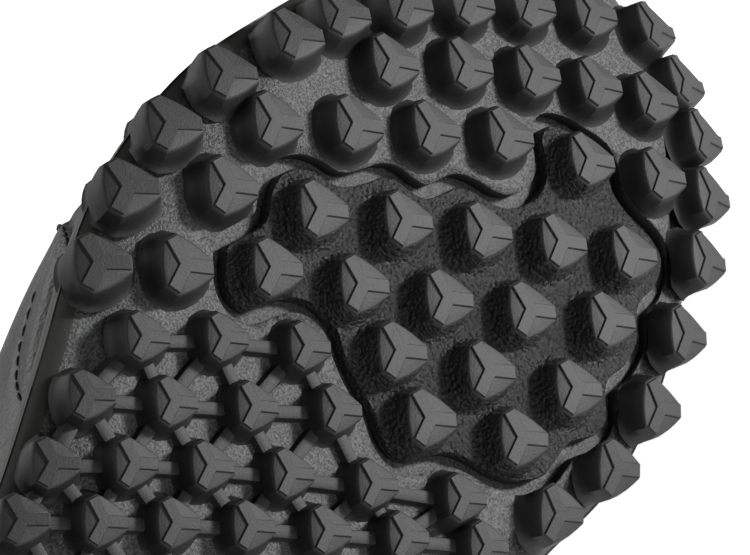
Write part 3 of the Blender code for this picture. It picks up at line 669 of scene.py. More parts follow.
def lug_pattern(size):
    """One lug round its own centre as (u, v, height) points, its faces and their finishes."""
    arm = LUG_ARM * size
    half = 0.5 * LUG_ARM_WIDTH * size
    notch = half / math.sin(math.radians(60.0))
    points = []
    faces = []
    finishes = []

    def spot(degrees, reach, side, height):
        turn = math.radians(degrees)
        along = math.cos(turn) * reach - math.sin(turn) * side
        points.append((along, math.sin(turn) * reach + math.cos(turn) * side, height))
        return len(points) - 1

    def y_ring(shrink, height):
        ring = []
        for turn in (60.0, 180.0, 300.0):
            ring.append(spot(turn, arm - shrink, shrink - half, height - ARM_DROOP))
            ring.append(spot(turn, arm - shrink, half - shrink, height - ARM_DROOP))
            ring.append(spot(turn + 60.0, notch - shrink * NOTCH_BEVEL, 0.0, height))
        return ring

    crown = y_ring(Y_BEVEL, LUG_HEIGHT)
    shoulder = y_ring(0.0, LUG_HEIGHT - Y_BEVEL)
    foot = y_ring(-FACET_FLARE, LUG_HEIGHT - Y_BEVEL - FACET_STEP)
    faces.append((crown[2], crown[5], crown[8]))
    finishes.append(LUG_TOP)
    for index in range(3):
        faces.append((crown[3 * index - 1], crown[3 * index], crown[3 * index + 1], crown[3 * index + 2]))
        finishes.append(LUG_TOP)
    for high, low, finish in ((crown, shoulder, LUG_TOP), (shoulder, foot, LUG_SIDE)):
        for index in range(9):
            after = (index + 1) % 9
            faces.append((high[index], high[after], low[after], low[index]))
            finishes.append(finish)
    edge = []
    for index in range(3):
        left, right, inner = foot[3 * index], foot[3 * index + 1], foot[3 * index + 2]
        far_end = foot[(3 * index + 3) % 9]
        edge.append(left)
        for part in range(1, SHORT_EDGE_PARTS):
            share = part / SHORT_EDGE_PARTS
            points.append(tuple(blend(np.array(points[left]), np.array(points[right]), share)))
            edge.append(len(points) - 1)
        edge.append(right)
        rim = []
        for part in range(1, LONG_EDGE_PARTS):
            share = part / LONG_EDGE_PARTS
            point = blend(np.array(points[right]), np.array(points[far_end]), share)
            arch = math.sin(math.pi * share)
            point[:2] += unit(point[:2]) * FACET_BULGE * size * arch
            point[2] -= FACET_SAG * arch
            points.append(tuple(point))
            rim.append(len(points) - 1)
        edge += rim
        fan = [right, *rim, far_end]
        for start, end in zip(fan, fan[1:]):
            faces.append((inner, start, end))
            finishes.append(LUG_TOP)
    outline_points = np.array([points[index] for index in edge])
    top_heights = outline_points[:, 2]
    outline_points = outline_points[:, :2]
    way = unit(np.roll(outline_points, -1, axis=0) - np.roll(outline_points, 1, axis=0))
    outward = unit(np.stack([way[:, 1], -way[:, 0]], axis=1) + SIDE_SPLAY * unit(outline_points))
    mean_radius = np.linalg.norm(outline_points, axis=1).mean()
    previous = edge
    for step in LUG_SIDE_STEPS:
        ring = outline_points + outward * step.spread * size
        far = np.linalg.norm(ring, axis=1, keepdims=True)
        ring = ring * blend(far, mean_radius * ROUND_ROOM + step.spread * size, step.roundness) / far
        start = len(points)
        points += [(place[0], place[1], step.height * top) for place, top in zip(ring, top_heights)]
        current = list(range(start, start + len(ring)))
        for index in range(len(ring)):
            after = (index + 1) % len(ring)
            faces.append((previous[index], previous[after], current[after], current[index]))
            finishes.append(step.finish)
        previous = current
    return np.array(points), faces, finishes


ROOT_TOP = 0.0024
EDGE_TUCK = 0.0040
EDGE_TUCK_SHARE = 0.30
EDGE_TUCK_START = 0.0022
EDGE_TUCK_RUN = 0.0030


def add_lugs(shell, lugs, on_pod):
    """Sets the lugs on the tread: tips square to it, roots following it and staying on their piece."""
    for lug in lugs:
        pattern, faces, finishes = lug_pattern(lug.size)
        centre, along, across, down = tread_frame(lug.place, LUG_HEIGHT)
        offset = pattern[:, :1] * along + pattern[:, 1:2] * across
        upright = centre + offset + down * pattern[:, 2:3]
        flat = lug.place + offset[:, :2]
        kept = keep_side_of_pod(flat, on_pod)
        moved = np.linalg.norm(kept - flat, axis=1) > 1e-9
        beyond = -edge_distance(kept)
        rooted = tread(kept, LUG_HEIGHT) + down * pattern[:, 2:3]
        tuck = ease((beyond + EDGE_TUCK_START) / EDGE_TUCK_RUN)
        rooted[:, 2] += tuck * EDGE_TUCK
        rooted[:, :2] = blend(rooted[:, :2], lug.place, (tuck * EDGE_TUCK_SHARE)[:, None])
        share = ease(1.0 - pattern[:, 2] / ROOT_TOP)
        share = np.where(moved, np.maximum(share, ease(1.0 - pattern[:, 2] / LUG_HEIGHT)), share)
        shell.add(blend(upright, rooted, share[:, None]), faces, finishes)


# Lattice bars: behind the pod low ribs join each lug to its neighbours and frame sunken, sandy fields.
BAR_WIDTH = 0.0021
BAR_CREST = 0.0018
BAR_HEIGHT = 0.0013
BAR_REACH = 0.0172
BAR_FILLET = 0.0004
BAR_SOFT_EDGE = 0.0001
BAR_START = 0.12
BAR_END = 0.88
BAR_PARTS = 8


def add_bar(shell, start, end):
    """A low rib from lug to lug, following the tread."""
    way = unit(end - start)
    side = np.array([-way[1], way[0]])
    section = [
        (-0.5 * BAR_WIDTH - BAR_FILLET, -BAR_SOFT_EDGE),
        (-0.5 * BAR_WIDTH, BAR_FILLET),
        (-0.5 * BAR_CREST - BAR_SOFT_EDGE, BAR_HEIGHT - BAR_SOFT_EDGE),
        (-0.5 * BAR_CREST + BAR_SOFT_EDGE, BAR_HEIGHT),
        (0.5 * BAR_CREST - BAR_SOFT_EDGE, BAR_HEIGHT),
        (0.5 * BAR_CREST + BAR_SOFT_EDGE, BAR_HEIGHT - BAR_SOFT_EDGE),
        (0.5 * BAR_WIDTH, BAR_FILLET),
        (0.5 * BAR_WIDTH + BAR_FILLET, -BAR_SOFT_EDGE),
    ]
    rings = []
    for share in np.linspace(BAR_START, BAR_END, BAR_PARTS):
        here = blend(start, end, share)
        ring = tread(np.array([here + side * across for across, _ in section]), LUG_HEIGHT)
        ring[:, 2] -= np.array([height for _, height in section])
        rings.append(ring)
    shell.loft(rings, LUG_TOP, closed=False)


lug_shell = Shell()
lattice = [lug for lug in LUGS if lug.zone == "lattice"]
for number, lug in enumerate(lattice):
    for other in lattice[number + 1:]:
        if np.linalg.norm(lug.place - other.place) < BAR_REACH:
            add_bar(lug_shell, lug.place, other.place)
add_lugs(lug_shell, [lug for lug in LUGS if lug.zone != "pod"], False)


def moulded_rubber(name, colour, roughness, grain_mm, depth, grain_and_glint_contrast, pebble_mm=None):
    """Black rubber with a grain from its mould, drawn in bump and in colour; the lighter specks of colour,
    strongest on the sandy and pebbled rubbers, are partly grain tone and partly painted glints.
    """
    material, tree, shader = new_material(name, colour, roughness, Specular_IOR_Level=0.5, IOR=1.52)
    place = add_node(tree, "ShaderNodeTexCoord")
    grain = add_node(
        tree,
        "ShaderNodeTexNoise",
        {"Scale": 1000.0 / grain_mm, "Detail": 3.0, "Roughness": 0.65},
        {"Vector": (place, "Object")},
    )
    height, output = grain, "Fac"
    if pebble_mm:
        pebble = add_node(
            tree,
            "ShaderNodeTexVoronoi",
            {"Scale": 1000.0 / pebble_mm, "feature": "SMOOTH_F1", "Smoothness": 0.5},
            {"Vector": (place, "Object")},
        )
        height = add_node(
            tree,
            "ShaderNodeMath",
            {"operation": "SUBTRACT"},
            {0: (grain, "Fac"), 1: (pebble, "Distance")},
        )
        output = "Value"
    bump = add_node(tree, "ShaderNodeBump", {"Distance": depth}, {"Height": (height, output)})
    tree.links.new(bump.outputs["Normal"], shader.inputs["Normal"])
    ramp = add_node(tree, "ShaderNodeValToRGB", links={"Fac": (grain, "Fac")})
    for index, (position, factor) in enumerate(((0.42, 1.0 - grain_and_glint_contrast), (0.60, 1.0 + grain_and_glint_contrast))):
        ramp.color_ramp.elements[index].position = position
        ramp.color_ramp.elements[index].color = [value * factor for value in linear(colour)[:3]] + [1.0]
    tree.links.new(ramp.outputs["Color"], shader.inputs["Base Color"])
    return material


# Sandy rubber: the etched mould leaves grit that glints, and its lighter specks of colour are partly painted
# glints. Satin rubber: the polished wall, soft highlights.
# Lug rubber: nearly smooth sides whose darker base colour is partly painted shade, and tops with a faint,
# even grain.
# Groove rubber: dull, and its near-black colour is painted shade on the groove's walls.
outsole_finishes = [
    # Satin rubber's base colour is raised partly as painted light on the wall and shoulder
    moulded_rubber("satin_rubber_painted_light", "343432", 0.48, 0.40, 0.00004, 0.10),
    # Sandy rubber's strong colour speckle: partly grain tone, partly painted glints
    moulded_rubber("sandy_rubber_painted_glints", "464647", 0.50, 0.42, 0.00026, 0.70),
    # Lug side rubber: darker than the tops, partly as painted shade
    moulded_rubber("smooth_lug_rubber_painted_shade", "1A1A1B", 0.55, 0.45, 0.00004, 0.12),
    moulded_rubber("grained_lug_rubber", "202021", 0.62, 0.34, 0.00008, 0.22),
    # Groove rubber: its near-black colour is painted shade on the groove's walls
    moulded_rubber("groove_rubber_painted_shade", "0B0B0C", 0.70, 0.50, 0.00005, 0.10),
]
outsole = sole_shell.build("outsole_moulding", outsole_finishes)
cut_away(outsole, recess_shell.build("pod_recess_cutter", []))
lug_moulding = lug_shell.build("lug_moulding", outsole_finishes)
whole = bmesh.new()
whole.from_mesh(outsole.data)
whole.from_mesh(lug_moulding.data)
whole.to_mesh(outsole.data)
whole.free()
bpy.data.objects.remove(lug_moulding, do_unlink=True)
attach(outsole, "root")
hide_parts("outsole")


# Forefoot pod
# A separate insert of grained rubber under the ball, glued into its recess with a wavy groove round it,
# whose walls are painted near black as shade.
# Its floor, its lugs' sides and its edge are pebbled, and only the tops of the lugs are finer.
# The pod's edge, from its face to its back: how far inside the groove, and how deep
POD_EDGE_STEPS = [(0.0006, 0.0), (0.0002, 0.0001), (0.0, 0.0005), (0.0, POD_THICKNESS)]
pod_shell = Shell()
add_sheet(pod_shell, half_groove + POD_EDGE_STEPS[0][0], 0.0, SANDY_FLOOR)
pod_rings = [groove_ring(half_groove + inset, depth) for inset, depth in POD_EDGE_STEPS]
pod_shell.loft(pod_rings, LUG_SIDE)
add_sheet(pod_shell, half_groove, POD_THICKNESS, LUG_SIDE)
add_lugs(pod_shell, [lug for lug in LUGS if lug.zone == "pod"], True)
pod_shell.finishes = [1 if finish == LUG_TOP else 0 for finish in pod_shell.finishes]

# Pebbled rubber: wrinkled grain, about 0.75 mm, with small shining crests; its lighter specks of colour are
# partly painted glints
pod = pod_shell.build(
    "pod_moulding",
    [
        moulded_rubber("pebbled_pod_rubber_painted_glints", "272728", 0.42, 0.45, 0.00060, 0.60, 0.75),
        moulded_rubber("fine_pod_rubber", "202021", 0.58, 0.34, 0.00010, 0.20),
    ],
)
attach(pod, "root")
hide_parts("forefoot_pod")


# Insole
# A cloth-covered foam footbed, die-cut to the cup and laid in loose, with a soft raised rim.
UPPER_WALL = 0.0020
INSOLE_THICKNESS = 0.0035
INSOLE_CROWN = 0.0012
INSOLE_ROUND_EDGE = 0.0016
INSOLE_FLAT_SHARE = 0.97
INSOLE_DISH_RUN = 0.12
INSOLE_ROUND_RUN = 0.03

insole_inset = CUP_WALL + lean(sole_places) + FIT_GAP + UPPER_WALL + 2 * FIT_GAP
insole_low = sheet_rings(
    sole_places,
    insole_inset,
    (0.0, 0.55, INSOLE_FLAT_SHARE),
    lambda flat: cup_floor(flat[:, 0]) + FIT_GAP,
)
insole_shares = (1.0, 0.995, 0.97, 0.93, 0.88, 0.8, 0.65, 0.45, 0.2, 0.0)
insole_top = []
for share in insole_shares:
    dish = INSOLE_CROWN * ease((INSOLE_FLAT_SHARE - share) / INSOLE_DISH_RUN)
    round_off = INSOLE_ROUND_EDGE * ease((share - INSOLE_FLAT_SHARE) / INSOLE_ROUND_RUN)
    rise = INSOLE_THICKNESS - dish - round_off
    insole_top += sheet_rings(
        sole_places,
        insole_inset,
        (share,),
        lambda flat: cup_floor(flat[:, 0]) + FIT_GAP + rise,
    )
insole_shell = Shell()
insole_shell.loft(insole_low + insole_top, 0)

# Knit footbed cloth: a fine, dull, even mesh with 0.9 mm loops
cloth, cloth_tree, cloth_shader = new_material("knit_footbed_cloth", "2E2E30", 0.88, Sheen_Weight=0.25)
cloth_place = add_node(cloth_tree, "ShaderNodeTexCoord")
cloth_loops = add_node(
    cloth_tree,
    "ShaderNodeTexVoronoi",
    {"Scale": 1000.0 / 0.9, "Randomness": 0.25},
    {"Vector": (cloth_place, "Object")},
)
cloth_bump = add_node(
    cloth_tree,
    "ShaderNodeBump",
    {"Distance": 0.0002},
    {"Height": (cloth_loops, "Distance")},
)
cloth_tree.links.new(cloth_bump.outputs["Normal"], cloth_shader.inputs["Normal"])
cloth_ramp = add_node(cloth_tree, "ShaderNodeValToRGB", links={"Fac": (cloth_loops, "Distance")})
cloth_ramp.color_ramp.elements[0].color = linear("3A3A3C")
cloth_ramp.color_ramp.elements[1].color = linear("161617")
cloth_tree.links.new(cloth_ramp.outputs["Color"], cloth_shader.inputs["Base Color"])
insole = insole_shell.build("footbed", [cloth])
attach(insole, "root")
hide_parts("insole")


# Upper
# Black full-grain leather, closed over a last: vamp, quarters, a side patch at the ball, eyestay and heel
# counter lie over each other and are sewn. Their lower edge is glued into the rubber cup.
UPPER_BULGE = 0.0032
PANEL_STEP = 0.0008
EYESTAY_SHARE = 0.80
EYESTAY_START = 4.2
COUNTER_SEAM = 2.75
COUNTER_SHARE = 0.55
RIB_SPACING_MM = 27.0
SHARE_MM = 85.0
EDGE_SOFTNESS_MM = 0.9
PATCH_PUFF = 0.0011
PATCH_PUFF_REACH_MM = 9.0
COLLAR_PAD = 0.0013
COLLAR_START = 0.80
COLLAR_END_PLACE = 4.6
COLLAR_RUN = 0.6
COLLAR_ROUNDNESS = 0.8
LINING_PAD = 0.0018
LINING_PAD_START = 0.70
LINING_PAD_RUN = 0.30
SEAM_DIP = 0.00035
SEAM_DIP_MM = 0.8
SEAM_FADE_MM = 2.0
PATCH_FADE_MM = 5.0

# The vamp's seam leans towards the toe on its way up. The patch's edge rises and bends forward along
# the rim.
VAMP_SEAM_LOW = 6.62
VAMP_SEAM_RUN = 1.70
VAMP_SEAM_POWER = 0.60
PATCH_EDGE = np.array([(5.77, 0.0), (5.98, 0.08), (6.12, 0.12), (6.35, 0.155), (6.7, 0.168), (7.4, 0.17)])


def upper_curve(places, share):
    """The upper's outer face: each rib's curve from the cup's rim (0) to the collar or throat (1)."""
    here = at_loop(places)
    edge = outline(places)
    base = outline(places, CUP_WALL + lean(places) + FIT_GAP)
    start = np.column_stack([base, tread(edge)[:, 2] + rim_height(edge[:, 0])])
    mouth = np.column_stack([share_points(here[:, 2:4]), here[:, 4] * INSTEP_HEIGHT])
    bulged = start + np.column_stack([unit(edge - base) * UPPER_BULGE, here[:, 5] * INSTEP_HEIGHT])
    level = (start - mouth) * np.array([1.0, 1.0, 0.0])
    sink = np.outer(here[:, 7] * INSTEP_HEIGHT, np.array([0.0, 0.0, 1.0]))
    handle = mouth + here[:, 6:7] * level - sink
    share = np.reshape(share, (-1, 1))
    rest = 1.0 - share
    return (
        rest ** 3 * start
        + 3 * rest ** 2 * share * bulged
        + 3 * rest * share ** 2 * handle
        + share ** 3 * mouth
    )


def upper_normal(places, share):
    """The outward direction of the upper's face."""
    places = np.atleast_1d(np.asarray(places, float))
    share = np.broadcast_to(share, places.shape)
    step = 0.02
    above = upper_curve(places, np.minimum(1.0, share + step))
    up = above - upper_curve(places, np.maximum(0.0, share - step))
    round_way = upper_curve(places + step, share) - upper_curve(places - step, share)
    return unit(np.cross(round_way, up))


def panel_relief(places, share):
    """How far panels, puff, seams and the collar's padding stand off the vamp's face."""
    from_heel = np.minimum(places % LOOP_LENGTH, LOOP_LENGTH - places % LOOP_LENGTH)
    share = np.broadcast_to(share, from_heel.shape)

    def inside(distance_mm):
        return ease(0.5 + distance_mm / EDGE_SOFTNESS_MM)

    vamp_seam = VAMP_SEAM_LOW + VAMP_SEAM_RUN * share ** VAMP_SEAM_POWER
    behind_vamp = (vamp_seam - from_heel) * RIB_SPACING_MM
    over_patch = (share - np.interp(from_heel, PATCH_EDGE[:, 0], PATCH_EDGE[:, 1], left=-1.0)) * SHARE_MM
    behind_patch = (np.interp(share, PATCH_EDGE[:, 1], PATCH_EDGE[:, 0]) - from_heel) * RIB_SPACING_MM
    outside_patch = np.where(share < PATCH_EDGE[-2, 1], behind_patch, over_patch)
    outside_patch = np.maximum(np.minimum(over_patch, PATCH_PUFF_REACH_MM), outside_patch)
    above_eyestay = np.minimum(
        (share - EYESTAY_SHARE) * SHARE_MM,
        (from_heel - EYESTAY_START) * RIB_SPACING_MM,
    )
    in_counter = np.minimum(
        (COUNTER_SHARE - share) * SHARE_MM,
        (COUNTER_SEAM - from_heel) * RIB_SPACING_MM,
    )
    quarter = inside(behind_vamp)
    steps = np.maximum(np.maximum(quarter, 2.0 * inside(above_eyestay)), 2.0 * inside(in_counter))
    relief = steps * PANEL_STEP
    patch_depth = np.minimum(-outside_patch, behind_vamp)
    relief += PATCH_PUFF * ease(patch_depth / PATCH_PUFF_REACH_MM) * ease(share * SHARE_MM / PATCH_FADE_MM)
    for distance in (behind_vamp, outside_patch, above_eyestay, in_counter):
        dip = SEAM_DIP * np.exp(-(distance / SEAM_DIP_MM) ** 2)
        relief -= dip * ease(share * SHARE_MM / SEAM_FADE_MM)
    collar = ease((COLLAR_END_PLACE - from_heel) / COLLAR_RUN)
    pad = np.sin(math.pi * np.clip((share - COLLAR_START) / (1.0 - COLLAR_START), 0.0, 1.0))
    return relief + COLLAR_PAD * collar * np.maximum(0.0, pad) ** COLLAR_ROUNDNESS


# Creases of wear: across the flex of the toes, beside the throat and behind the ankle. Each
# runs between two places on the upper (loop place and share), a soft trough with a low ridge beside it.
Crease = namedtuple("Crease", "start_place start_share end_place end_share depth width")
CREASES = [
    Crease(7.60, 0.20, 7.95, 0.78, 0.00080, 0.0034),
    Crease(8.05, 0.24, 8.40, 0.74, 0.00070, 0.0032),
    Crease(8.60, 0.36, 8.80, 0.80, 0.00045, 0.0030),
    Crease(16.45, 0.22, 16.00, 0.76, 0.00075, 0.0034),
    Crease(15.95, 0.26, 15.50, 0.72, 0.00065, 0.0032),
    Crease(15.40, 0.36, 15.15, 0.78, 0.00040, 0.0030),
    Crease(6.05, 0.34, 6.55, 0.62, 0.00050, 0.0036),
    Crease(17.95, 0.34, 17.45, 0.62, 0.00050, 0.0036),
    Crease(2.90, 0.66, 3.70, 0.72, 0.00060, 0.0034),
    Crease(21.10, 0.66, 20.30, 0.72, 0.00060, 0.0034),
]
CREASE_PARTS = 8
CREASE_FADE = 0.006
CREASE_START_SHARE = 0.02
RIDGE_SHARE = 0.45
RIDGE_PLACE = 1.9


def crease_relief(points):
    """Depth of the creases at points of the upper's face."""
    relief = np.zeros(len(points))
    for crease in CREASES:
        amounts = np.linspace(0.0, 1.0, CREASE_PARTS + 1)
        line_places = blend(crease.start_place, crease.end_place, amounts)
        line = upper_curve(line_places, blend(crease.start_share, crease.end_share, amounts))
        gaps = np.linalg.norm(points[:, None, :] - line[None], axis=2)
        nearest = gaps.argmin(1)
        ways = np.gradient(line, axis=0)[nearest]
        rel = points - line[nearest]
        along = (rel * unit(ways)).sum(1)
        across = np.sqrt(np.maximum(0.0, (rel * rel).sum(1) - along ** 2))
        past = np.where((nearest == 0) | (nearest == CREASE_PARTS), np.abs(along), 0.0)
        fade = np.exp(-(past / CREASE_FADE) ** 2)
        trough = np.exp(-(across / crease.width) ** 2)
        ridge = RIDGE_SHARE * np.exp(-((across - RIDGE_PLACE * crease.width) / crease.width) ** 2)
        relief += crease.depth * fade * (ridge - trough)
    return relief


def upper_face(places, share):
    """Points of the finished outer face."""
    places = np.atleast_1d(np.asarray(places, float))
    points = upper_curve(places, share)
    relief = panel_relief(places, share) + crease_relief(points) * float(np.min(share) > CREASE_START_SHARE)
    return points + relief[:, None] * upper_normal(places, share)


UPPER_COLUMNS = 22
upper_places = np.arange(LOOP_LENGTH * UPPER_COLUMNS) / UPPER_COLUMNS
upper_shares = np.concatenate([np.linspace(0.0, 0.3, 25), np.linspace(0.3, 1.0, 50)[1:]])
upper_base = outline(upper_places, CUP_WALL + lean(upper_places) + FIT_GAP)
inner_base = outline(upper_places, CUP_WALL + lean(upper_places) + FIT_GAP + UPPER_WALL)
upper_foot = np.column_stack([upper_base, cup_floor(upper_base[:, 0]) + FIT_GAP])
inner_foot = np.column_stack([inner_base, cup_floor(inner_base[:, 0]) + FIT_GAP])
outer_rings = [upper_foot] + [upper_face(upper_places, share) for share in upper_shares]


def lining_face(places, share):
    """Points of the lining, with its padding under the collar."""
    from_heel = np.minimum(places, LOOP_LENGTH - places)
    pad = np.sin(math.pi * np.clip((share - LINING_PAD_START) / LINING_PAD_RUN, 0.0, 1.0))
    pad = pad * ease((COLLAR_END_PLACE - from_heel) / COLLAR_RUN)
    depth = UPPER_WALL + LINING_PAD * np.maximum(0.0, pad)
    return upper_curve(places, share) - depth[:, None] * upper_normal(places, share)


inner_shares = np.concatenate([np.linspace(1.0, 0.7, 9), np.linspace(0.7, 0.0, 9)[1:]])
inner_rings = [lining_face(upper_places, share) for share in inner_shares] + [inner_foot]
lip_rings = []
lip_up = unit(upper_curve(upper_places, 1.0) - upper_curve(upper_places, 0.98))
lip_width = np.linalg.norm(outer_rings[-1] - inner_rings[0], axis=1)[:, None]
for share in (0.15, 0.35, 0.65, 0.85):
    rise = 0.45 * lip_width * math.sin(math.pi * share)
    lip_rings.append(blend(outer_rings[-1], inner_rings[0], share) + rise * lip_up)
upper_shell = Shell()
upper_rings = outer_rings + lip_rings + inner_rings + [upper_foot]
LEATHER, LINING = range(2)
upper_finishes = [LEATHER] * (len(outer_rings) + 2)
upper_finishes += [LINING] * (len(upper_rings) - 1 - len(upper_finishes))
upper_shell.loft(upper_rings, upper_finishes)

# Full-grain leather: soft gloss, fine pores 0.8 mm apart and short strokes 0.7 mm wide from brushing
leather, leather_tree, leather_shader = new_material(
    "full_grain_leather",
    "262624",
    0.44,
    IOR=1.48,
    Coat_Weight=0.12,
    Coat_Roughness=0.35,
)
leather_place = add_node(leather_tree, "ShaderNodeTexCoord")
pores = add_node(
    leather_tree,
    "ShaderNodeTexVoronoi",
    {"Scale": 1000.0 / 0.8, "feature": "F1", "Randomness": 0.9},
    {"Vector": (leather_place, "Object")},
)
stretched = add_node(
    leather_tree,
    "ShaderNodeMapping",
    {"Scale": (0.35, 1.0, 1.0)},
    {"Vector": (leather_place, "Object")},
)
strokes = add_node(
    leather_tree,
    "ShaderNodeTexNoise",
    {"Scale": 1000.0 / 0.7, "Detail": 3.0},
    {"Vector": (stretched, "Vector")},
)
leather_height = add_node(
    leather_tree,
    "ShaderNodeMath",
    {"operation": "MULTIPLY_ADD", 1: 1.6},
    {0: (strokes, "Fac"), 2: (pores, "Distance")},
)
leather_bump = add_node(
    leather_tree,
    "ShaderNodeBump",
    {"Distance": 0.00012},
    {"Height": (leather_height, "Value")},
)
leather_tree.links.new(leather_bump.outputs["Normal"], leather_shader.inputs["Normal"])
leather_cloud = add_node(
    leather_tree,
    "ShaderNodeTexNoise",
    {"Scale": 1000.0 / 14.0, "Detail": 4.0},
    {"Vector": (leather_place, "Object")},
)
leather_tone = add_node(leather_tree, "ShaderNodeValToRGB", links={"Fac": (leather_cloud, "Fac")})
leather_tone.color_ramp.elements[0].position = 0.3
leather_tone.color_ramp.elements[0].color = linear("20201E")
leather_tone.color_ramp.elements[1].position = 0.7
leather_tone.color_ramp.elements[1].color = linear("2C2C29")
leather_tree.links.new(leather_tone.outputs["Color"], leather_shader.inputs["Base Color"])

# Brushed lining: dull black jersey with a soft nap
lining, lining_tree, lining_shader = new_material("brushed_lining", "1E1E20", 0.92, Sheen_Weight=0.35)
lining_place = add_node(lining_tree, "ShaderNodeTexCoord")
lining_knit = add_node(
    lining_tree,
    "ShaderNodeTexNoise",
    {"Scale": 1000.0 / 0.6, "Detail": 2.0},
    {"Vector": (lining_place, "Object")},
)
lining_bump = add_node(
    lining_tree,
    "ShaderNodeBump",
    {"Distance": 0.0002},
    {"Height": (lining_knit, "Fac")},
)
lining_tree.links.new(lining_bump.outputs["Normal"], lining_shader.inputs["Normal"])
upper = upper_shell.build("upper_leather_shell", [leather, lining], sharp_degrees=55.0)

# Lace holes, punched through eyestay and lining
LACE_PAIRS = 6
TOP_PAIR = 5.15
LOW_PAIR = 8.05
EYELET_SHARE = 0.905
LACE_HOLE_RADIUS = 0.0022
pair_places = [blend(TOP_PAIR, LOW_PAIR, index / (LACE_PAIRS - 1)) for index in range(LACE_PAIRS)]
punch = bmesh.new()
for pair in pair_places:
    for place in (pair, LOOP_LENGTH - pair):
        centre = Vector(upper_face(place, EYELET_SHARE)[0])
        way = Vector(upper_normal(place, EYELET_SHARE)[0])
        made = bmesh.ops.create_cone(
            punch,
            cap_ends=True,
            segments=28,
            radius1=LACE_HOLE_RADIUS,
            radius2=LACE_HOLE_RADIUS,
            depth=0.012,
        )
        turn = way.to_track_quat("Z", "Y").to_matrix().to_4x4()
        bmesh.ops.transform(punch, verts=made["verts"], matrix=LYING @ Matrix.Translation(centre) @ turn)
punch_mesh = bpy.data.meshes.new("lace_hole_punches")
punch.to_mesh(punch_mesh)
punch.free()
punches = bpy.data.objects.new("lace_hole_punches", punch_mesh)
bpy.context.scene.collection.objects.link(punches)
cut_away(upper, punches)
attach(upper, "root")
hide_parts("upper")


# Stitching
# Bonded black thread, sewn by machine about 3 mm a stitch: one row along each panel's edge, two on the
# eyestay.
STITCH_LENGTH = 0.0023
STITCH_PITCH = 0.0030
THREAD_RADIUS = 0.00036
STITCH_SIDES = 6
SEAM_MARGIN_MM = 1.2
PATCH_MARGIN_MM = 0.8
PATCH_MARGIN_UP_MM = 0.4
EDGE_MARGIN_MM = 1.6
SECOND_ROW_MM = 4.0
# Along a stitch: share of its length, share of the thread's radius, and lift in radii
STITCH_SECTIONS = [(0.0, 0.2, -0.3), (0.12, 0.8, 0.1), (0.5, 1.0, 0.45), (0.88, 0.8, 0.1), (1.0, 0.2, -0.3)]
stitch_shell = Shell()


def sew(places, shares):
    """Sews a row of stitches along a line on the upper, given as loop places and shares."""
    line = np.array([upper_face(place, share)[0] for place, share in zip(places, shares)])
    out = np.array([upper_normal(place, share)[0] for place, share in zip(places, shares)])
    run = np.concatenate([[0.0], np.cumsum(np.linalg.norm(np.diff(line, axis=0), axis=1))])
    for start in np.arange(0.0, run[-1] - STITCH_LENGTH, STITCH_PITCH):
        rings = []
        for share, thickness, lift in STITCH_SECTIONS:
            here = start + share * STITCH_LENGTH
            centre = np.array([np.interp(here, run, line[:, axis]) for axis in range(3)])
            normal = unit(np.array([np.interp(here, run, out[:, axis]) for axis in range(3)]))
            ahead = np.array([np.interp(here + 0.0005, run, line[:, axis]) for axis in range(3)])
            behind = np.array([np.interp(here - 0.0005, run, line[:, axis]) for axis in range(3)])
            side = unit(np.cross(normal, ahead - behind))
            ring = []
            for turn in np.arange(STITCH_SIDES) * 2.0 * math.pi / STITCH_SIDES:
                reach = side * math.cos(turn) + normal * math.sin(turn)
                ring.append(centre + normal * lift * THREAD_RADIUS + reach * THREAD_RADIUS * thickness)
            rings.append(ring)
        stitch_shell.loft(rings, 0)


def sew_both_sides(places, shares):
    sew(places, shares)
    sew(LOOP_LENGTH - np.asarray(places), shares)


seam_shares = np.linspace(0.015, EYESTAY_SHARE - 0.02, 60)
vamp_row = VAMP_SEAM_LOW + VAMP_SEAM_RUN * seam_shares ** VAMP_SEAM_POWER
sew_both_sides(vamp_row - SEAM_MARGIN_MM / RIB_SPACING_MM, seam_shares)
patch_run = np.linspace(0.0, 1.0, 50)
patch_knots = np.linspace(0.0, 1.0, len(PATCH_EDGE) - 1)
patch_places = np.interp(patch_run, patch_knots, PATCH_EDGE[:-1, 0])
patch_shares = np.interp(patch_run, patch_knots, PATCH_EDGE[:-1, 1])
patch_shares = np.maximum(0.012, patch_shares - PATCH_MARGIN_UP_MM / SHARE_MM)
sew_both_sides(patch_places + PATCH_MARGIN_MM / RIB_SPACING_MM, patch_shares)
eyestay_places = np.linspace(EYESTAY_START + 0.08, 9.0, 90)
sew_both_sides(eyestay_places, np.full(90, EYESTAY_SHARE + EDGE_MARGIN_MM / SHARE_MM))
sew_both_sides(eyestay_places, np.full(90, EYESTAY_SHARE + SECOND_ROW_MM / SHARE_MM))
counter_places = np.linspace(0.0, COUNTER_SEAM - 0.06, 50)
sew_both_sides(counter_places, np.full(50, COUNTER_SHARE - EDGE_MARGIN_MM / SHARE_MM))
counter_shares = np.linspace(0.015, COUNTER_SHARE - 0.02, 40)
sew_both_sides(np.full(40, COUNTER_SEAM - EDGE_MARGIN_MM / RIB_SPACING_MM), counter_shares)

# Bonded nylon thread: deep black with a faint gloss
thread, _, _ = new_material("bonded_thread", "0D0D0D", 0.55)
stitches = stitch_shell.build("upper_stitches", [thread], weld=0.000001)
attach(stitches, "root")


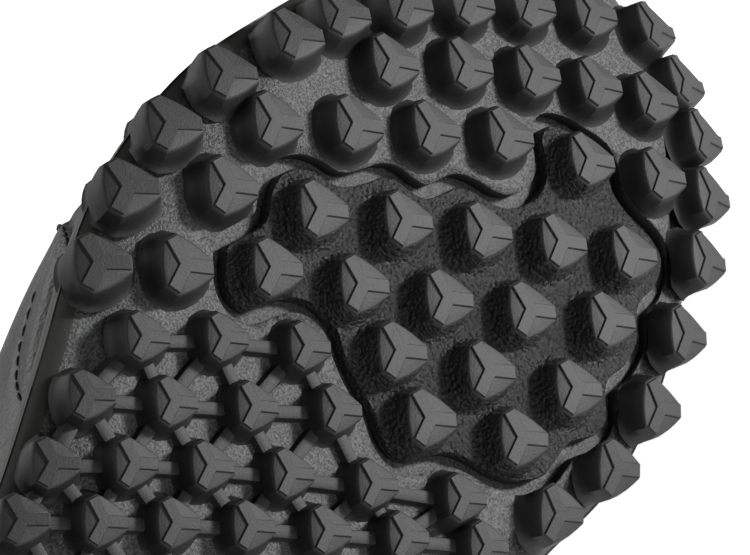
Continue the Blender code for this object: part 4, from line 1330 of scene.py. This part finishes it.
# Tongue
# Soft black leather over thin foam, sewn in under the bottom of the throat and free at the top.
TONGUE_THICKNESS = 0.0040
TONGUE_TOP = 0.024
TONGUE_CROWN = 0.0022
TONGUE_TAPER = 0.42
TONGUE_EDGE = 0.0016
TONGUE_EDGE_RUN = 0.14
TONGUE_SEAM = 0.085
TONGUE_SEAM_WIDTH = 0.012
TONGUE_SEAM_DEPTH = 0.0005
TONGUE_TIP_DIP = 0.004
TONGUE_LOW_PLACE = 8.9
TONGUE_HIGH_PLACE = 5.3
TONGUE_ROWS = 26
TONGUE_COLUMNS = 25
TONGUE_CLEARANCE = UPPER_WALL + 3 * FIT_GAP


def smooth_line(knots, amounts):
    """A smooth curve through the knots, at amounts from 0 to 1."""
    knots = np.asarray(knots)
    padded = np.vstack([2 * knots[0] - knots[1], knots, 2 * knots[-1] - knots[-2]])
    spot = np.clip(amounts, 0.0, 1.0) * (len(knots) - 1)
    index = np.minimum(spot.astype(int), len(knots) - 2)
    part = (spot - index)[:, None]
    return catmull_rom(*(padded[index + step] for step in range(4)), part)


def tongue_knots(place):
    """Knots of the tongue's face under one rib: under the outer eyestay, over the foot, under the inner."""
    row = []
    for side, shares in ((place, (0.74, 0.86, 1.0)), (LOOP_LENGTH - place, (1.0, 0.86, 0.74))):
        for share in shares:
            row.append(upper_curve([side], share)[0] - TONGUE_CLEARANCE * upper_normal(side, share)[0])
    middle = 0.5 * (row[2] + row[3]) + np.array([0.0, 0.0, TONGUE_CROWN])
    return np.array(row[:3] + [middle] + row[3:])


tongue_amounts = np.linspace(0.0, 1.0, TONGUE_COLUMNS)
knot_rows = [tongue_knots(place) for place in np.linspace(TONGUE_LOW_PLACE, TONGUE_HIGH_PLACE, TONGUE_ROWS)]
free_way = unit(knot_rows[-1][3] - knot_rows[-5][3])
free_row = knot_rows[-1]
for share in (0.12, 0.25, 0.4, 0.55, 0.7, 0.82, 0.92, 1.0):
    narrow = TONGUE_TAPER * share ** 1.6
    dip = TONGUE_TIP_DIP * share ** 2 * np.abs(np.linspace(-1.0, 1.0, 7))[:, None] ** 2
    moved = blend(free_row, free_row[3], narrow) + free_way * TONGUE_TOP * share
    knot_rows.append(moved - free_way * dip)
tongue_face = np.array([smooth_line(row, tongue_amounts) for row in knot_rows])
row_ways = np.gradient(tongue_face, axis=0)
column_ways = np.gradient(tongue_face, axis=1)
tongue_out = unit(np.cross(column_ways, row_ways))
if tongue_out[10, TONGUE_COLUMNS // 2, 2] < 0.0:
    tongue_out = -tongue_out
tongue_side = np.minimum(tongue_amounts, 1.0 - tongue_amounts)
fullness = blend(TONGUE_EDGE, TONGUE_THICKNESS, ease(tongue_side / TONGUE_EDGE_RUN))
stitched_in = TONGUE_SEAM_DEPTH * np.exp(-((tongue_side - TONGUE_SEAM) / TONGUE_SEAM_WIDTH) ** 2)
tongue_shell = Shell()
tongue_rings = []
for number in range(len(tongue_face)):
    ends = min(1.0, (len(tongue_face) - 1 - number) / 3.0 + 0.25)
    top = tongue_face[number] - stitched_in[:, None] * tongue_out[number]
    low = tongue_face[number] - (fullness * ends)[:, None] * tongue_out[number]
    tongue_rings.append(np.vstack([top, low[::-1]]))
tongue_shell.loft(tongue_rings, 0)
for ring in (tongue_rings[0], tongue_rings[-1]):
    half = len(ring) // 2
    pairs = [np.array([ring[index], ring[-1 - index]]) for index in range(half)]
    tongue_shell.loft(pairs, 0, closed=False)

# Garment leather: softer and duller than the upper, with a wrinkled grain about 1.1 mm
soft_leather, soft_tree, soft_shader = new_material("garment_leather", "242422", 0.55)
soft_place = add_node(soft_tree, "ShaderNodeTexCoord")
soft_grain = add_node(
    soft_tree,
    "ShaderNodeTexVoronoi",
    {"Scale": 1000.0 / 1.1, "feature": "SMOOTH_F1", "Smoothness": 0.3},
    {"Vector": (soft_place, "Object")},
)
soft_bump = add_node(
    soft_tree,
    "ShaderNodeBump",
    {"Distance": 0.00022},
    {"Height": (soft_grain, "Distance")},
)
soft_tree.links.new(soft_bump.outputs["Normal"], soft_shader.inputs["Normal"])
tongue = tongue_shell.build("tongue_pad", [soft_leather], sharp_degrees=60.0)
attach(tongue, "root")
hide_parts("tongue")


# Lace
# One flat woven lace, straight over each pair of holes and up under the eyestay to the next, on alternate
# sides. Its ends stop inside holes, one in the lowest pair and one in the top pair.
LACE_RADIUS = 0.0013
LACE_WIDTH = 0.0056
LACE_WIDTH_IN_HOLE = 0.0034
LACE_THICKNESS = 0.0013
LACE_THICKNESS_IN_HOLE = 0.0022
LACE_END_DEPTH = 0.0027
LACE_HOLE_DEPTH = 0.0008
LACE_SIDE_ROUNDNESS = 0.6
LACE_FACE_ROUNDNESS = 0.8
LACE_SIDES = 14
LACE_PARTS = 8
lace_rise = LACE_RADIUS + 2 * FIT_GAP
lace_knots = []
for number, pair in enumerate(reversed(pair_places)):
    sides = (pair, LOOP_LENGTH - pair)
    sides = sides if number % 2 == 0 else sides[::-1]
    holes = []
    for place in sides:
        hole = upper_face(place, EYELET_SHARE)[0]
        out = upper_normal(place, EYELET_SHARE)[0]
        edge = upper_face(place, 1.0)[0]
        edge_out = upper_normal(place, 1.0)[0]
        holes.append(
            [
                (hole - out * LACE_END_DEPTH, out, 0.0),
                (hole - out * LACE_HOLE_DEPTH, out, 0.0),
                (hole + out * 0.8 * lace_rise, out, 0.4),
                (blend(hole, edge, 0.55) + out * lace_rise, out, 1.0),
                (edge + edge_out * lace_rise, edge_out, 1.0),
            ]
        )
    middle = 0.5 * (holes[0][4][0] + holes[1][4][0]) + np.array([0.0, 0.0, TONGUE_CROWN + LACE_RADIUS])
    middle_out = unit(holes[0][4][1] + holes[1][4][1])
    lace_knots += holes[0] + [(middle, middle_out, 1.0)] + holes[1][::-1]
lace_points = np.array([knot[0] for knot in lace_knots])
lace_outs = np.array([knot[1] for knot in lace_knots])
lace_fullness = np.array([[knot[2]] * 3 for knot in lace_knots])
lace_amounts = np.linspace(0.0, 1.0, (len(lace_knots) - 1) * LACE_PARTS + 1)
lace_path = smooth_line(lace_points, lace_amounts)
lace_out = unit(smooth_line(lace_outs, lace_amounts))
lace_full = np.clip(smooth_line(lace_fullness, lace_amounts)[:, 0], 0.0, 1.0)
lace_way = unit(np.gradient(lace_path, axis=0))
lace_side = unit(np.cross(lace_out, lace_way) + 1e-6)
for index in range(1, len(lace_side)):
    if lace_side[index] @ lace_side[index - 1] < 0.0:
        lace_side[index] = -lace_side[index]
lace_flat = unit(np.cross(lace_way, lace_side))
lace_shell = Shell()
lace_rings = []
for index in range(len(lace_path)):
    half_width = 0.5 * blend(LACE_WIDTH_IN_HOLE, LACE_WIDTH, lace_full[index])
    half_depth = 0.5 * blend(LACE_THICKNESS_IN_HOLE, LACE_THICKNESS, lace_full[index])
    ring = []
    for turn in np.arange(LACE_SIDES) * 2.0 * math.pi / LACE_SIDES:
        across = math.copysign(abs(math.cos(turn)) ** LACE_SIDE_ROUNDNESS, math.cos(turn)) * half_width
        depth = math.copysign(abs(math.sin(turn)) ** LACE_FACE_ROUNDNESS, math.sin(turn)) * half_depth
        ring.append(lace_path[index] + lace_side[index] * across + lace_flat[index] * depth)
    lace_rings.append(ring)
lace_shell.loft(lace_rings, 0)
for ring in (lace_rings[0], lace_rings[-1]):
    lace_shell.add(ring, [tuple(range(LACE_SIDES))], [0])

# Woven polyester: matt black, crossing yarns about 0.7 mm wide
weave, weave_tree, weave_shader = new_material("woven_polyester", "171717", 0.82, Sheen_Weight=0.2)
weave_place = add_node(weave_tree, "ShaderNodeTexCoord")
yarns = []
for turn in (math.radians(45.0), math.radians(-45.0)):
    turned = add_node(
        weave_tree,
        "ShaderNodeMapping",
        {"Rotation": (turn, turn, turn)},
        {"Vector": (weave_place, "Object")},
    )
    yarns.append(
        add_node(
            weave_tree,
            "ShaderNodeTexWave",
            {"Scale": 1000.0 / 0.7 / 6.28, "Distortion": 0.4},
            {"Vector": (turned, "Vector")},
        )
    )
crossing = add_node(
    weave_tree,
    "ShaderNodeMath",
    {"operation": "MULTIPLY"},
    {0: (yarns[0], "Fac"), 1: (yarns[1], "Fac")},
)
weave_bump = add_node(
    weave_tree,
    "ShaderNodeBump",
    {"Distance": 0.0003},
    {"Height": (crossing, "Value")},
)
weave_tree.links.new(weave_bump.outputs["Normal"], weave_shader.inputs["Normal"])
lace = lace_shell.build("lace", [weave], sharp_degrees=60.0, weld=0.000001)
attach(lace, "root")
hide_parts(*[f"lace_bar_{number}" for number in range(1, LACE_PAIRS + 1)])
